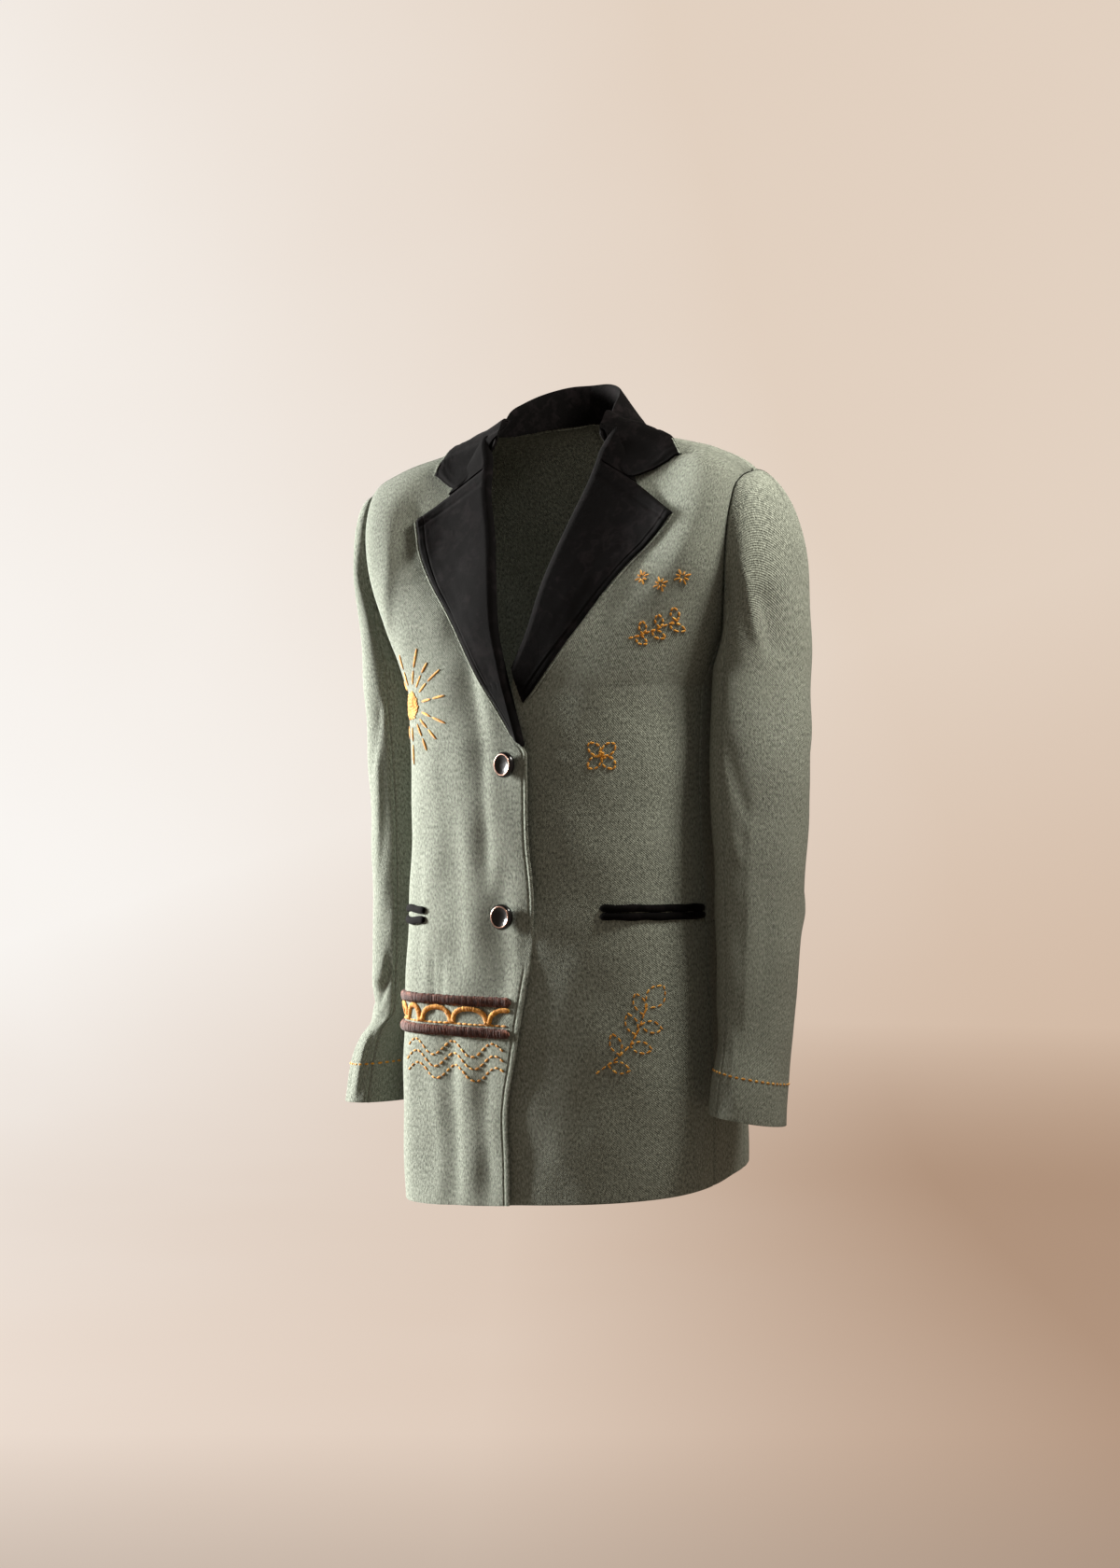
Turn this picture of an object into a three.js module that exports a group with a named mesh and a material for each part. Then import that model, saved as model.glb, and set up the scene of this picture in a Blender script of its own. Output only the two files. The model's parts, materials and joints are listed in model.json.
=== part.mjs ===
// A single-breasted wool blazer with a velvet collar, held in the hollow shape of a worn jacket.
// Millimetres, +Z up, +X the wearer's left, -Y the front.
// The origin is between the two neck points of the shoulder seams, at the height where the jacket is held.
import * as THREE from "three";

// ---------- Driving dimensions ----------
const CLOTH = 2.4; // wall of wool with its interlining
const VELVET = 2.4; // wall of the velvet collar and lapels
const SEAM_GAP = 0.3; // clear gap between two pieces at a seam
const REST_GAP = 0.4; // clear gap under what lies on a curved panel
const BUST_Z = -250; // height of the bust line, where the body starts to arch over to the shoulders
const BUST_HALF = 150; // half width of the body at the bust line
const SHOULDER_HALF = 204; // half width at the shoulder seams' outer ends
const PIT_RISE = 0.17; // height of the armpit, as a share of the arch from bust to shoulder
const ARMHOLE_STEP = 18; // degrees between the points round an armhole
const SIDE_TURN = 144; // the side panel lies under the armhole, from this far round it to the same at the back
const SLEEVE_TURN = 108; // the two sleeve seams, from the top of the armhole
const SLEEVE_GAP = 0.5; // the sleeve's edge stands this far off the armhole's
const SHOULDER_POWER = 2.5; // how much squarer the body's rings get on their way to the shoulder
const ARM_ZONE = { from: 0.5, to: 0.97 }; // shares of the half width between the centre's arch and the arm's
const RIDGE_SPAN = 3; // half length over which the shoulder line's slope is measured
// How the right front laps over the left one.
const LAP = { lift: CLOTH + 0.4, outer: -78, inner: -30, low: -190, high: -90 };
const NECK_POINT_Z = -6; // where the fronts' edges meet the shoulder seams
const ROLL_SETBACK = 4.5; // the front's cut edge lies this far behind the visible roll of its lapel
const BREAK_Z = -305; // height where the lapel starts to roll
const GORGE = { x: 57, z: -37 }; // where lapel, collar and front meet at the neck
const NECK_HALF = 72; // half width of the neck opening on the shoulder ridge
const NECK_BACK = 66; // depth of the back neck seam
const BUTTON = { radius: 12, height: 8.6 };
const POCKET = { welt: 6, slit: 2, proud: 2, lengthTo: 82.6 };
const BAND = { z: -538, spacing: 28.5, half: 4.3, proud: 5, from: -3, to: 172 };
const ARCH = { first: 1, pitch: 33, halfWidth: 13.4, height: 12, thick: 4.6, proud: 4, side: 1.6 };

// ---------- Tables ----------
const columns = (names, rows) => {
  const table = {};
  names.split(" ").forEach((name, k) => (table[name] = rows.map((row) => row[k])));
  table.step = rows.map((row, k) => k / (rows.length - 1));
  return table;
};

// The body's rings from hem to bust: half width, depth of the front, back and side line, squareness.
const BODY = columns("z half front back side power", [
  [-740, 160, -82, 170, 30, 2.9],
  [-640, 160, -85, 158, 30, 2.9],
  [-560, 157, -88, 146, 28, 2.9],
  [-480, 153, -88, 134, 27, 2.9],
  [-410, 149, -87, 122, 26, 2.9],
  [-330, 147, -88, 120, 25, 3.0],
  [BUST_Z, BUST_HALF, -88, 128, 24, 3.1],
]);

// The shoulder ridge: height over the half breadth.
const RIDGE = columns("x z", [
  [0, 20],
  [40, 12],
  [75, -5],
  [100, -14],
  [120, -19.5],
  [143, -25],
  [160, -29.5],
  [175, -35.5],
  [190, -43],
  [SHOULDER_HALF, -54],
]);

// What is left of the bust's depth as the arch rises, at the centre and at the arm, front and back.
const ARCH_DEPTH = columns("rise frontCentre frontArm backCentre backArm", [
  [0, 1, 1, 1, 1],
  [0.2, 0.9, 0.97, 0.99, 0.985],
  [0.37, 0.77, 0.91, 0.975, 0.95],
  [0.55, 0.57, 0.82, 0.94, 0.87],
  [0.72, 0.4, 0.68, 0.86, 0.75],
  [0.83, 0.275, 0.54, 0.77, 0.62],
  [0.92, 0.185, 0.38, 0.65, 0.45],
  [0.97, 0.12, 0.24, 0.5, 0.29],
  [0.99, 0.07, 0.14, 0.32, 0.17],
  [1, 0, 0, 0, 0],
]);

// The hem's height round the body; the jacket hangs a little lower on its right.
const HEM = columns("angle z", [
  [-180, -702],
  [-120, -716],
  [-63, -731],
  [-20, -727],
  [0, -724],
  [39, -718],
  [82, -706],
  [125, -692],
  [180, -702],
]);

// Depth of the armhole's front and back edge over the rise.
const ARMHOLE = columns("rise front back", [
  [PIT_RISE, 34, 34],
  [0.2, 16, 54],
  [0.26, 3, 68],
  [0.36, -10, 80],
  [0.5, -24, 84],
  [0.66, -33, 74],
  [0.8, -31, 56],
  [0.9, -23, 38],
  [0.96, -13, 22],
  [1, 0, 0],
]);

// The front edge and the visible roll of the lapel above it: distance past the centre.
const EDGE = columns("z past", [
  [-740, -1],
  [-680, -1],
  [-645, -2],
  [-620, 1],
  [-594, 7],
  [-552, 15],
  [-509, 22],
  [-462, 27],
  [-432, 27],
  [-390, 23],
  [-313, 22],
  [BREAK_Z, 20],
  [-274, 10],
  [-238, -1],
  [-200, -14],
  [-155, -24],
  [-105, -38],
  [-63, -52],
  [GORGE.z, -GORGE.x],
]);
// Below the buttons the left front reaches further under the right one.
const UNDER_EDGE = { extra: 8, low: -640, high: -560 };

// Lapel rows from the break to the tip: height on the roll, breadth and height on the outer edge.
const LAPEL_RIGHT = columns("roll x z", [
  [-304, -8, -299],
  [-282, 12, -273],
  [-243, 45, -228],
  [-198, 77, -182],
  [-150, 103, -146],
  [-100, 119, -121],
  [-64, 126, -102],
  [GORGE.z, 131, -87],
]);
const LAPEL_LEFT = columns("roll x z", [
  [-231, 16, -265],
  [-222, 34, -243],
  [-205, 58, -209],
  [-182, 77, -182],
  [-146, 103, -146],
  [-100, 125, -124],
  [-64, 139, -108],
  [GORGE.z, 148, -95],
]);
// Section of the roll: how far in from the visible roll and how high, outside and inside.
const ROLL = columns("out outLift in inLift", [
  [1.4, -2.4, 3.8, -2.3],
  [0.2, 0, 2.7, 0.2],
  [0.3, 2.6, 2.8, 1.8],
  [2.4, 5.0, 4.4, 3.0],
  [7, 6.4, 7.4, 3.9],
]);
const LAPEL_EDGE_LIFT = 3.9;

// The collar from the centre back to the gorge: the roll in space, then, on the shoulder seen from above,
// the seam to the neck and the fall's outer edge, and how far that edge sits over to the wearer's left.
const COLLAR = columns("share rollX rollY rollZ seamX seamY edgeX edgeY drift", [
  [0, 0, 66, 46, 0, 66, 0, 80, 0],
  [0.2, 22, 61, 45, 28, 61, 30, 77, 0],
  [0.4, 41, 46, 38, 50, 47, 56, 61, 0],
  [0.55, 52, 27, 28, 64, 28, 74, 42, 0],
  [0.7, 57.5, 8, 16, 71, 7, 88, 21, 0],
  [0.85, 58, -7, -8, 69, -8, 110, -1, 3],
  [1, 57.5, -18, -28, 64, -17, 133, -20, 9],
]);
const NOTCH = { x: 92, z: -57.5 }; // where the collar's front edge leaves the lapel
const FALL_LIFT = 4; // the fall's outer face over the shoulder
const RIDGE_EASE = 2.2; // how much further it stands off where it bends over the shoulder
const RIDGE_EASE_Y = -9;
const FALL_CROWN = 1.5; // how far the fall bows out between its roll and its edge
const ROLL_RADIUS = 3.6;
const ROLL_DROP = 4; // how far under the roll its two flanks are measured
const RIDGE_EASE_REACH = 9;
const SEAM_LIFT = 0.6; // the stand's foot over the neck seam
const COLLAR_SHAPE = { halfCols: 14, steps: 11, crowd: 1.5, middle: 0.45, notchLift: 5, notchFrom: 0.84 };

// Sleeve rings: drop below the origin, centre, half breadth, half depth, and the ring's tip up to the body.
const SLEEVE_LEFT = columns("drop x y halfX halfY tip", [
  [238, 197, 34, 41, 58, 0],
  [321, 200, 25, 43, 58, 0],
  [423, 202, 20, 38, 53, 0],
  [500, 203, 13, 35, 48, 0.05],
  [556, 203.5, 7, 31.5, 45, 0.2],
  [582, 203.5, 3, 30, 44, 0.25],
  [608, 203.5, -4, 31.5, 45, 0.2],
  [641, 203.5, -10, 32, 46, 0.18],
]);
const SLEEVE_RIGHT = columns("drop x y halfX halfY tip", [
  [238, 193, 38, 35.5, 58, 0],
  [345, 191, 47, 37, 56, 0],
  [447, 191, 48, 35, 52, 0],
  [520, 191, 43, 33, 49, 0.15],
  [553, 191.5, 38, 31, 46, 0.42],
  [569, 201, 30, 30, 43, 0.42],
  [600, 206, 24, 31, 44, 0.12],
  [645, 208.5, 16, 32, 44, 0.03],
]);

// ---------- Helpers ----------
const rad = THREE.MathUtils.degToRad;
const clamp = THREE.MathUtils.clamp;
const lerp = THREE.MathUtils.lerp;
const between = THREE.MathUtils.smoothstep;
const vec = (x, y, z) => new THREE.Vector3(x, y, z);

// A smooth curve through a table's column.
function along(table, by, value, name) {
  const xs = table[by];
  const ys = table[name];
  const last = xs.length - 1;
  const x = clamp(value, xs[0], xs[last]);
  let k = 0;
  while (k < last - 1 && x > xs[k + 1]) k++;
  const slope = (i) => {
    const a = Math.max(i - 1, 0);
    const b = Math.min(i + 1, last);
    return (ys[b] - ys[a]) / (xs[b] - xs[a]);
  };
  const span = xs[k + 1] - xs[k];
  const t = (x - xs[k]) / span;
  return (
    ys[k] * (1 + 2 * t) * (1 - t) ** 2 +
    slope(k) * span * t * (1 - t) ** 2 +
    ys[k + 1] * t * t * (3 - 2 * t) +
    slope(k + 1) * span * t * t * (t - 1)
  );
}

// The same with straight lines between the rows.
function straight(table, by, value, name) {
  const xs = table[by];
  const ys = table[name];
  const last = xs.length - 1;
  const x = clamp(value, xs[0], xs[last]);
  let k = 0;
  while (k < last - 1 && x > xs[k + 1]) k++;
  return lerp(ys[k], ys[k + 1], (x - xs[k]) / (xs[k + 1] - xs[k]));
}

// The value between low and high at which a rising function reaches a target.
function solve(low, high, rising, target) {
  let a = low;
  let b = high;
  for (let i = 0; i < 40; i++) {
    const middle = (a + b) / 2;
    if (rising(middle) < target) a = middle;
    else b = middle;
  }
  return (a + b) / 2;
}

// ---------- The body's surface ----------
// angle: degrees from the centre front, positive to the wearer's left, 180 at the centre back.
// level: up to 0, millimetres below the bust line; from 0 to 1, the rise from there to the shoulder ridge.
function ring(angle, z, rise) {
  const s = Math.sin(rad(angle));
  const c = Math.cos(rad(angle));
  const side = along(BODY, "z", z, "side");
  const depth = c >= 0 ? side - along(BODY, "z", z, "front") : along(BODY, "z", z, "back") - side;
  const power = along(BODY, "z", z, "power") + SHOULDER_POWER * Math.sin(rad(90 * rise)) ** 2;
  const half = along(BODY, "z", z, "half");
  const reach = (Math.abs(s / half) ** power + Math.abs(c / depth) ** power) ** (-1 / power);
  return { x: reach * s, y: side - reach * c };
}

function bodyPoint(angle, level) {
  const rise = clamp(level, 0, 1);
  const base = ring(angle, BUST_Z + Math.min(level, 0), rise);
  const top = (base.x * SHOULDER_HALF) / BUST_HALF;
  const ridge = straight(RIDGE, "x", Math.abs(top), "z");
  const where = Math.cos(rad(angle)) >= 0 ? "front" : "back";
  const arm = between(Math.abs(base.x) / BUST_HALF, ARM_ZONE.from, ARM_ZONE.to);
  const left = lerp(
    along(ARCH_DEPTH, "rise", rise, where + "Centre"),
    along(ARCH_DEPTH, "rise", rise, where + "Arm"),
    arm,
  );
  return vec(
    lerp(base.x, top, Math.sin(rad(90 * rise))),
    base.y * left,
    level <= 0 ? BUST_Z + level : lerp(BUST_Z, ridge, rise),
  );
}

// A point of the body moved out along the surface's normal.
function onBody(angle, level, lift) {
  const stepLevel = level < 0 ? 1 : 0.004;
  const above = Math.min(level + stepLevel, 1);
  const below = level - stepLevel;
  const across = bodyPoint(angle + 0.3, level).sub(bodyPoint(angle - 0.3, level));
  const up = bodyPoint(angle, above).sub(bodyPoint(angle, below));
  const normal = across.cross(up).normalize();
  const point = bodyPoint(angle, level);
  // On the ridge both sides share one normal, square to the shoulder line.
  const ridgeZ = (x) => straight(RIDGE, "x", Math.abs(x), "z");
  const slope = (ridgeZ(point.x - RIDGE_SPAN) - ridgeZ(point.x + RIDGE_SPAN)) / (2 * RIDGE_SPAN);
  const square = vec(slope, 0, 1).normalize();
  normal.lerp(square, between(level, 0.9, 1)).normalize();
  return point.addScaledVector(normal, lift);
}

// The angle on the front, or on the back, at which the body has a given breadth or depth.
const angleAtX = (x, level, back) => {
  const half = solve(0, 90, (a) => bodyPoint(a * (back ? -1 : 1) + (back ? 180 : 0), level).x, Math.abs(x));
  const angle = back ? 180 - half : half;
  return x < 0 ? -angle : angle;
};
const angleAtY = (y, level, back) =>
  back
    ? solve(90, 180, (a) => bodyPoint(a, level).y, y)
    : solve(1, 120, (a) => bodyPoint(a, level).y, y);

// The angle and level of the front's point at a given breadth and height.
function frontAt(x, z) {
  let level = z - BUST_Z;
  if (z > BUST_Z) {
    let ridge = -10;
    for (let i = 0; i < 12; i++) {
      level = clamp((z - BUST_Z) / (ridge - BUST_Z), 0, 1);
      const base = Math.abs(x) / (1 + (SHOULDER_HALF / BUST_HALF - 1) * Math.sin(rad(90 * level)));
      ridge = straight(RIDGE, "x", (base * SHOULDER_HALF) / BUST_HALF, "z");
    }
  }
  return { angle: angleAtX(x, level, false), level };
}

// How far the right front stands off the form, to lap over the left one.
function lap(side, x, z) {
  if (side > 0) return 0;
  return LAP.lift * between(x, LAP.outer, LAP.inner) * (1 - between(z, LAP.low, LAP.high));
}

// The angle that lies a given way round from the centre front, measured along the cloth.
function angleAtGirth(level, girth) {
  const step = 0.5;
  let angle = 0;
  let done = 0;
  let last = bodyPoint(0, level);
  while (done < Math.abs(girth) && angle < 180) {
    angle += step;
    const next = bodyPoint(angle, level);
    done += next.distanceTo(last);
    last = next;
  }
  return Math.sign(girth) * angle;
}

// ---------- Solids ----------
// A closed wall over a grid of places, each with its outer and its inner point.
// The outer face looks along (across x along). Trims pull the named sides in, towards the grid.
function shell(cols, rows, place, trims = {}) {
  const grid = [];
  for (let j = 0; j <= rows; j++) {
    const line = [];
    for (let i = 0; i <= cols; i++) line.push(place(i / cols, j / rows, i, j));
    grid.push(line);
  }
  const pull = (from, to, by) => {
    for (const face of ["out", "in"]) {
      const way = to[face].clone().sub(from[face]).normalize();
      from[face].addScaledVector(way, by);
    }
  };
  for (let j = 0; j <= rows; j++) {
    if (trims.start) pull(grid[j][0], grid[j][1], trims.start);
    if (trims.end) pull(grid[j][cols], grid[j][cols - 1], trims.end);
  }
  for (let i = 0; i <= cols; i++) {
    if (trims.bottom) pull(grid[0][i], grid[1][i], trims.bottom);
    if (trims.top) pull(grid[rows][i], grid[rows - 1][i], trims.top);
  }
  const positions = [];
  for (const face of ["out", "in"]) {
    for (const line of grid) for (const spot of line) positions.push(...spot[face].toArray());
  }
  const faces = [];
  const wide = cols + 1;
  const inner = wide * (rows + 1);
  const quad = (a, b, c, d) => faces.push(a, b, c, a, c, d);
  for (let j = 0; j < rows; j++) {
    for (let i = 0; i < cols; i++) {
      const a = j * wide + i;
      quad(a, a + 1, a + 1 + wide, a + wide);
      quad(inner + a, inner + a + wide, inner + a + wide + 1, inner + a + 1);
    }
  }
  for (let i = 0; i < cols; i++) {
    const low = i;
    const high = rows * wide + i;
    quad(low, inner + low, inner + low + 1, low + 1);
    quad(high, high + 1, inner + high + 1, inner + high);
  }
  for (let j = 0; j < rows; j++) {
    const first = j * wide;
    const end = first + cols;
    quad(first, first + wide, inner + first + wide, inner + first);
    quad(end, inner + end, inner + end + wide, end + wide);
  }
  const geometry = new THREE.BufferGeometry();
  geometry.setAttribute("position", new THREE.Float32BufferAttribute(positions, 3));
  geometry.setIndex(faces);
  geometry.computeVertexNormals();
  return geometry;
}

// ---------- Rows of the panels ----------
// From hem to bust, bust to armpit, then one row for each pair of points round the armhole.
const SKIRT_ROWS = 10;
const FRONT_COLS = 16;
const PIT_ROWS = 2;
const ARM_ROWS = 180 / ARMHOLE_STEP;
const riseAt = (turn) => 1 - ((1 - PIT_RISE) * (1 - Math.cos(rad(turn)))) / 2;

function hemLevel(angle) {
  return along(HEM, "angle", angle, "z") - BUST_Z;
}

// The level of a row; rows in the skirt run from the hem, whose height changes round the body.
function rowLevel(row, angle) {
  if (row <= SKIRT_ROWS) return hemLevel(angle) * (1 - row / SKIRT_ROWS);
  const over = row - SKIRT_ROWS;
  if (over <= PIT_ROWS) return (PIT_RISE * over) / PIT_ROWS;
  return riseAt(180 - (over - PIT_ROWS) * ARMHOLE_STEP);
}

const turned = (side, turn) => {
  const back = turn > 180;
  const rise = riseAt(turn);
  const y = along(ARMHOLE, "rise", rise, back ? "back" : "front");
  return { angle: side * (turn % 360 === 0 ? 90 : angleAtY(y, rise, back)), level: rise };
};
const FRONT_SEAM = turned(1, SIDE_TURN).angle;
const BACK_SEAM = turned(1, 360 - SIDE_TURN).angle;
const trim = SEAM_GAP / 2;
const wall = (angle, level, lift, thickness) => ({
  out: onBody(angle, level, lift),
  in: onBody(angle, level, lift - thickness),
});

// ---------- Fronts ----------
// Angle of a front's inner edge: the button edge below the break, the cut edge behind the roll above it.
function frontEdge(side, level) {
  let x = 0;
  let z = BUST_Z + Math.min(level, 0);
  for (let i = 0; i < 8; i++) {
    if (level > 0) z = lerp(BUST_Z, straight(RIDGE, "x", Math.abs(x) + 4, "z"), level);
    let past = along(EDGE, "z", z, "past");
    past -= ROLL_SETBACK * between(z, BREAK_Z - 6, BREAK_Z + 6);
    if (side > 0) past += UNDER_EDGE.extra * (1 - between(z, UNDER_EDGE.low, UNDER_EDGE.high));
    // From the gorge the edge turns out to the neck point of the shoulder seam.
    if (z > GORGE.z) past = -lerp(GORGE.x + ROLL_SETBACK, NECK_HALF, between(z, GORGE.z, NECK_POINT_Z));
    x = -side * past;
  }
  return angleAtX(x, level, false);
}

// Angle of a panel's edge along the side seam and, above the armpit, along the armhole.
function armEdge(side, row, back) {
  const turn = 180 - (row - SKIRT_ROWS - PIT_ROWS) * ARMHOLE_STEP;
  if (turn >= SIDE_TURN) return side * (back ? BACK_SEAM : FRONT_SEAM);
  return turned(side, back ? 360 - turn : turn).angle;
}

function front(side) {
  const rows = SKIRT_ROWS + PIT_ROWS + ARM_ROWS;
  const place = (u, v, i, j) => {
    const edge = frontEdge(side, rowLevel(j, 0));
    const angle = lerp(edge, armEdge(side, j, false), side > 0 ? u : 1 - u);
    const level = rowLevel(j, angle);
    const bare = bodyPoint(angle, level);
    return wall(angle, level, lap(side, bare.x, bare.z), CLOTH);
  };
  return shell(FRONT_COLS, rows, place, side > 0 ? { end: trim, top: trim } : { start: trim, top: trim });
}

// ---------- Side panels and backs ----------
function sidePanel(side) {
  const cols = 4;
  const topRow = SKIRT_ROWS + PIT_ROWS + 2;
  const full = rowLevel(topRow, 0);
  const place = (u, v, i, j) => {
    const share = side > 0 ? u : 1 - u;
    const top = turned(side, lerp(SIDE_TURN, 360 - SIDE_TURN, share));
    const level = rowLevel(j, top.angle);
    return wall(top.angle, level > 0 ? (level * top.level) / full : level, 0, CLOTH);
  };
  return shell(cols, topRow, place, { start: trim, end: trim, top: trim });
}

// The back's columns end, at the top, on the neck seam and then along the shoulder seam.
const BACK_COLS = 10;
const NECK_COLS = 3;
function neckDepth(x) {
  return NECK_BACK * Math.sqrt(Math.max(0, 1 - (Math.abs(x) / NECK_HALF) ** 2.4));
}

function back(side) {
  const pitRow = SKIRT_ROWS + PIT_ROWS;
  const rows = pitRow + ARM_ROWS;
  const topOf = (column) => {
    const past = Math.max(0, column - NECK_COLS) / (BACK_COLS - NECK_COLS);
    const x = column <= NECK_COLS ? (NECK_HALF * column) / NECK_COLS : lerp(NECK_HALF, SHOULDER_HALF, past);
    if (column === BACK_COLS) return { angle: 90, level: 1 };
    if (column >= NECK_COLS) return { angle: angleAtX(x, 1, true), level: 1 };
    let level = 0.97;
    let angle = 180;
    for (let k = 0; k < 10; k++) {
      angle = angleAtX(x, level, true);
      level = solve(0.5, 1, (l) => -bodyPoint(angle, l).y, -neckDepth(x));
    }
    return { angle, level };
  };
  const place = (u, v, i, j) => {
    const column = side > 0 ? BACK_COLS - i : i;
    const top = topOf(column);
    const even = lerp(180, Math.abs(armEdge(side, j, true)), column / BACK_COLS);
    const climb = Math.max(0, j - pitRow) / ARM_ROWS;
    const angle = side * lerp(even, column === BACK_COLS ? even : top.angle, climb ** 1.5);
    const level = rowLevel(j, angle);
    const scaled = PIT_RISE + ((level - PIT_RISE) * (top.level - PIT_RISE)) / (1 - PIT_RISE);
    return wall(angle, level > PIT_RISE ? scaled : level, 0, CLOTH);
  };
  return shell(BACK_COLS, rows, place, { start: trim, end: trim, top: trim });
}

// ---------- Sleeves ----------
const CAP_ROWS = 8;
const ARM_SPLITS = 2;
// How the cap leaves the armhole, out, forward and up, more at the crown, and how it comes down to the arm.
const CAP = { out: 6, crownLeft: 67, crownRight: 44, fore: 34, sag: 8, lift: 14, hollow: 12 };
const ARRIVE = { down: 105, crown: 85 };
function sleeveRing(side, table, drop, turn) {
  const c = Math.cos(rad(turn));
  const s = Math.sin(rad(turn));
  const outX = along(table, "drop", drop, "halfX") * c;
  const foreY = along(table, "drop", drop, "halfY") * s;
  const tip = along(table, "drop", drop, "tip") * (side * foreY * 0.5 - outX * 0.87);
  return vec(
    side * (along(table, "drop", drop, "x") + outX),
    along(table, "drop", drop, "y") - foreY,
    tip - drop,
  );
}

// fall: 0 at the armhole, 1 at the first free ring, then one for each ring of the table.
function sleevePoint(side, table, turn, fall) {
  const rings = table.drop.length - 1;
  if (fall >= 1) {
    const k = clamp(fall - 1, 0, rings);
    const row = Math.min(Math.floor(k), rings - 1);
    return sleeveRing(side, table, lerp(table.drop[row], table.drop[row + 1], k - row), turn);
  }
  const c = Math.cos(rad(turn));
  const s = Math.sin(rad(turn));
  const hole = turned(side, (turn + 360) % 360);
  const start = bodyPoint(hole.angle, hole.level);
  start.add(vec(side, -0.3 * s, 0).normalize().multiplyScalar(SLEEVE_GAP));
  const end = sleeveRing(side, table, table.drop[0], turn);
  const crown = side > 0 ? CAP.crownLeft : CAP.crownRight;
  const climb = CAP.lift * c - CAP.sag - CAP.hollow * s * s;
  const leave = vec(side * (CAP.out + crown * (1 + c)), -CAP.fore * s, climb);
  const arrive = vec(0, 0, -(ARRIVE.down + ARRIVE.crown * c));
  const t = fall;
  return start
    .multiplyScalar((1 + 2 * t) * (1 - t) ** 2)
    .addScaledVector(leave, t * (1 - t) ** 2)
    .addScaledVector(end, t * t * (3 - 2 * t))
    .addScaledVector(arrive, t * t * (t - 1));
}

function sleeve(side, table, from, to) {
  const cols = Math.round((to - from) / ARMHOLE_STEP);
  const rings = table.drop.length - 1;
  const rows = CAP_ROWS + rings * ARM_SPLITS;
  const place = (u, v, i, j) => {
    const turn = lerp(from, to, side > 0 ? 1 - u : u);
    const row = rows - j;
    const fall = row <= CAP_ROWS ? row / CAP_ROWS : 1 + (row - CAP_ROWS) / ARM_SPLITS;
    const at = (dTurn, dFall) => sleevePoint(side, table, turn + dTurn, Math.max(0, fall + dFall));
    const around = at(1, 0).sub(at(-1, 0));
    const down = at(0, 0.02).sub(at(0, -0.02));
    const normal = around.cross(down).normalize().multiplyScalar(side);
    const point = at(0, 0);
    return { out: point, in: point.clone().addScaledVector(normal, -CLOTH) };
  };
  return shell(cols, rows, place, { start: trim, end: trim });
}

// ---------- Lapels ----------
const onFront = (side, x, z, lift) => {
  const spot = frontAt(side * x, z);
  return onBody(spot.angle, spot.level, lift + lap(side, side * x, z));
};

function lapel(side, table) {
  const hooks = ROLL.out.length;
  const flats = 7;
  const cols = hooks + flats - 1;
  const place = (u, v, i) => {
    const column = side > 0 ? i : cols - i;
    const rollZ = along(table, "step", v, "roll");
    const rollX = -along(EDGE, "z", rollZ, "past");
    const alongX = along(table, "step", v, "x") - rollX;
    const alongZ = along(table, "step", v, "z") - rollZ;
    const length = Math.hypot(alongX, alongZ);
    const spot = (distance, lift) =>
      onFront(side, rollX + (alongX * distance) / length, rollZ + (alongZ * distance) / length, lift);
    if (column < hooks)
      return {
        out: spot(ROLL.out[column], ROLL.outLift[column]),
        in: spot(ROLL.in[column], ROLL.inLift[column]),
      };
    const share = (column - hooks + 1) / flats;
    const distance = lerp(ROLL.out[hooks - 1], length, share);
    const lift = lerp(ROLL.outLift[hooks - 1], LAPEL_EDGE_LIFT, share);
    return { out: spot(distance, lift), in: spot(distance, lift - VELVET) };
  };
  return shell(cols, 12, place);
}

// ---------- Collar ----------
// A point on the shoulder, given from above.
function onTop(x, y, lift) {
  const isBack = y > 0;
  const depthAt = (level) => bodyPoint(angleAtX(x, level, isBack), level).y;
  const level = solve(0.3, 1, (l) => (isBack ? -depthAt(l) : depthAt(l)), isBack ? -y : y);
  return onBody(angleAtX(x, level, isBack), level, lift);
}

// Lifts a point of the fall to where it clears the shoulder under it.
function clearOfShoulder(point) {
  const under = onTop(Math.abs(point.x), point.y, 0);
  const normal = onTop(Math.abs(point.x), point.y, 1).sub(under);
  const ease = RIDGE_EASE * Math.exp(-(((point.y - RIDGE_EASE_Y) / RIDGE_EASE_REACH) ** 2));
  const lowest = under.z + (FALL_LIFT + ease) / Math.max(normal.z, 0.4);
  return point.setZ(Math.max(point.z, lowest));
}

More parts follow.
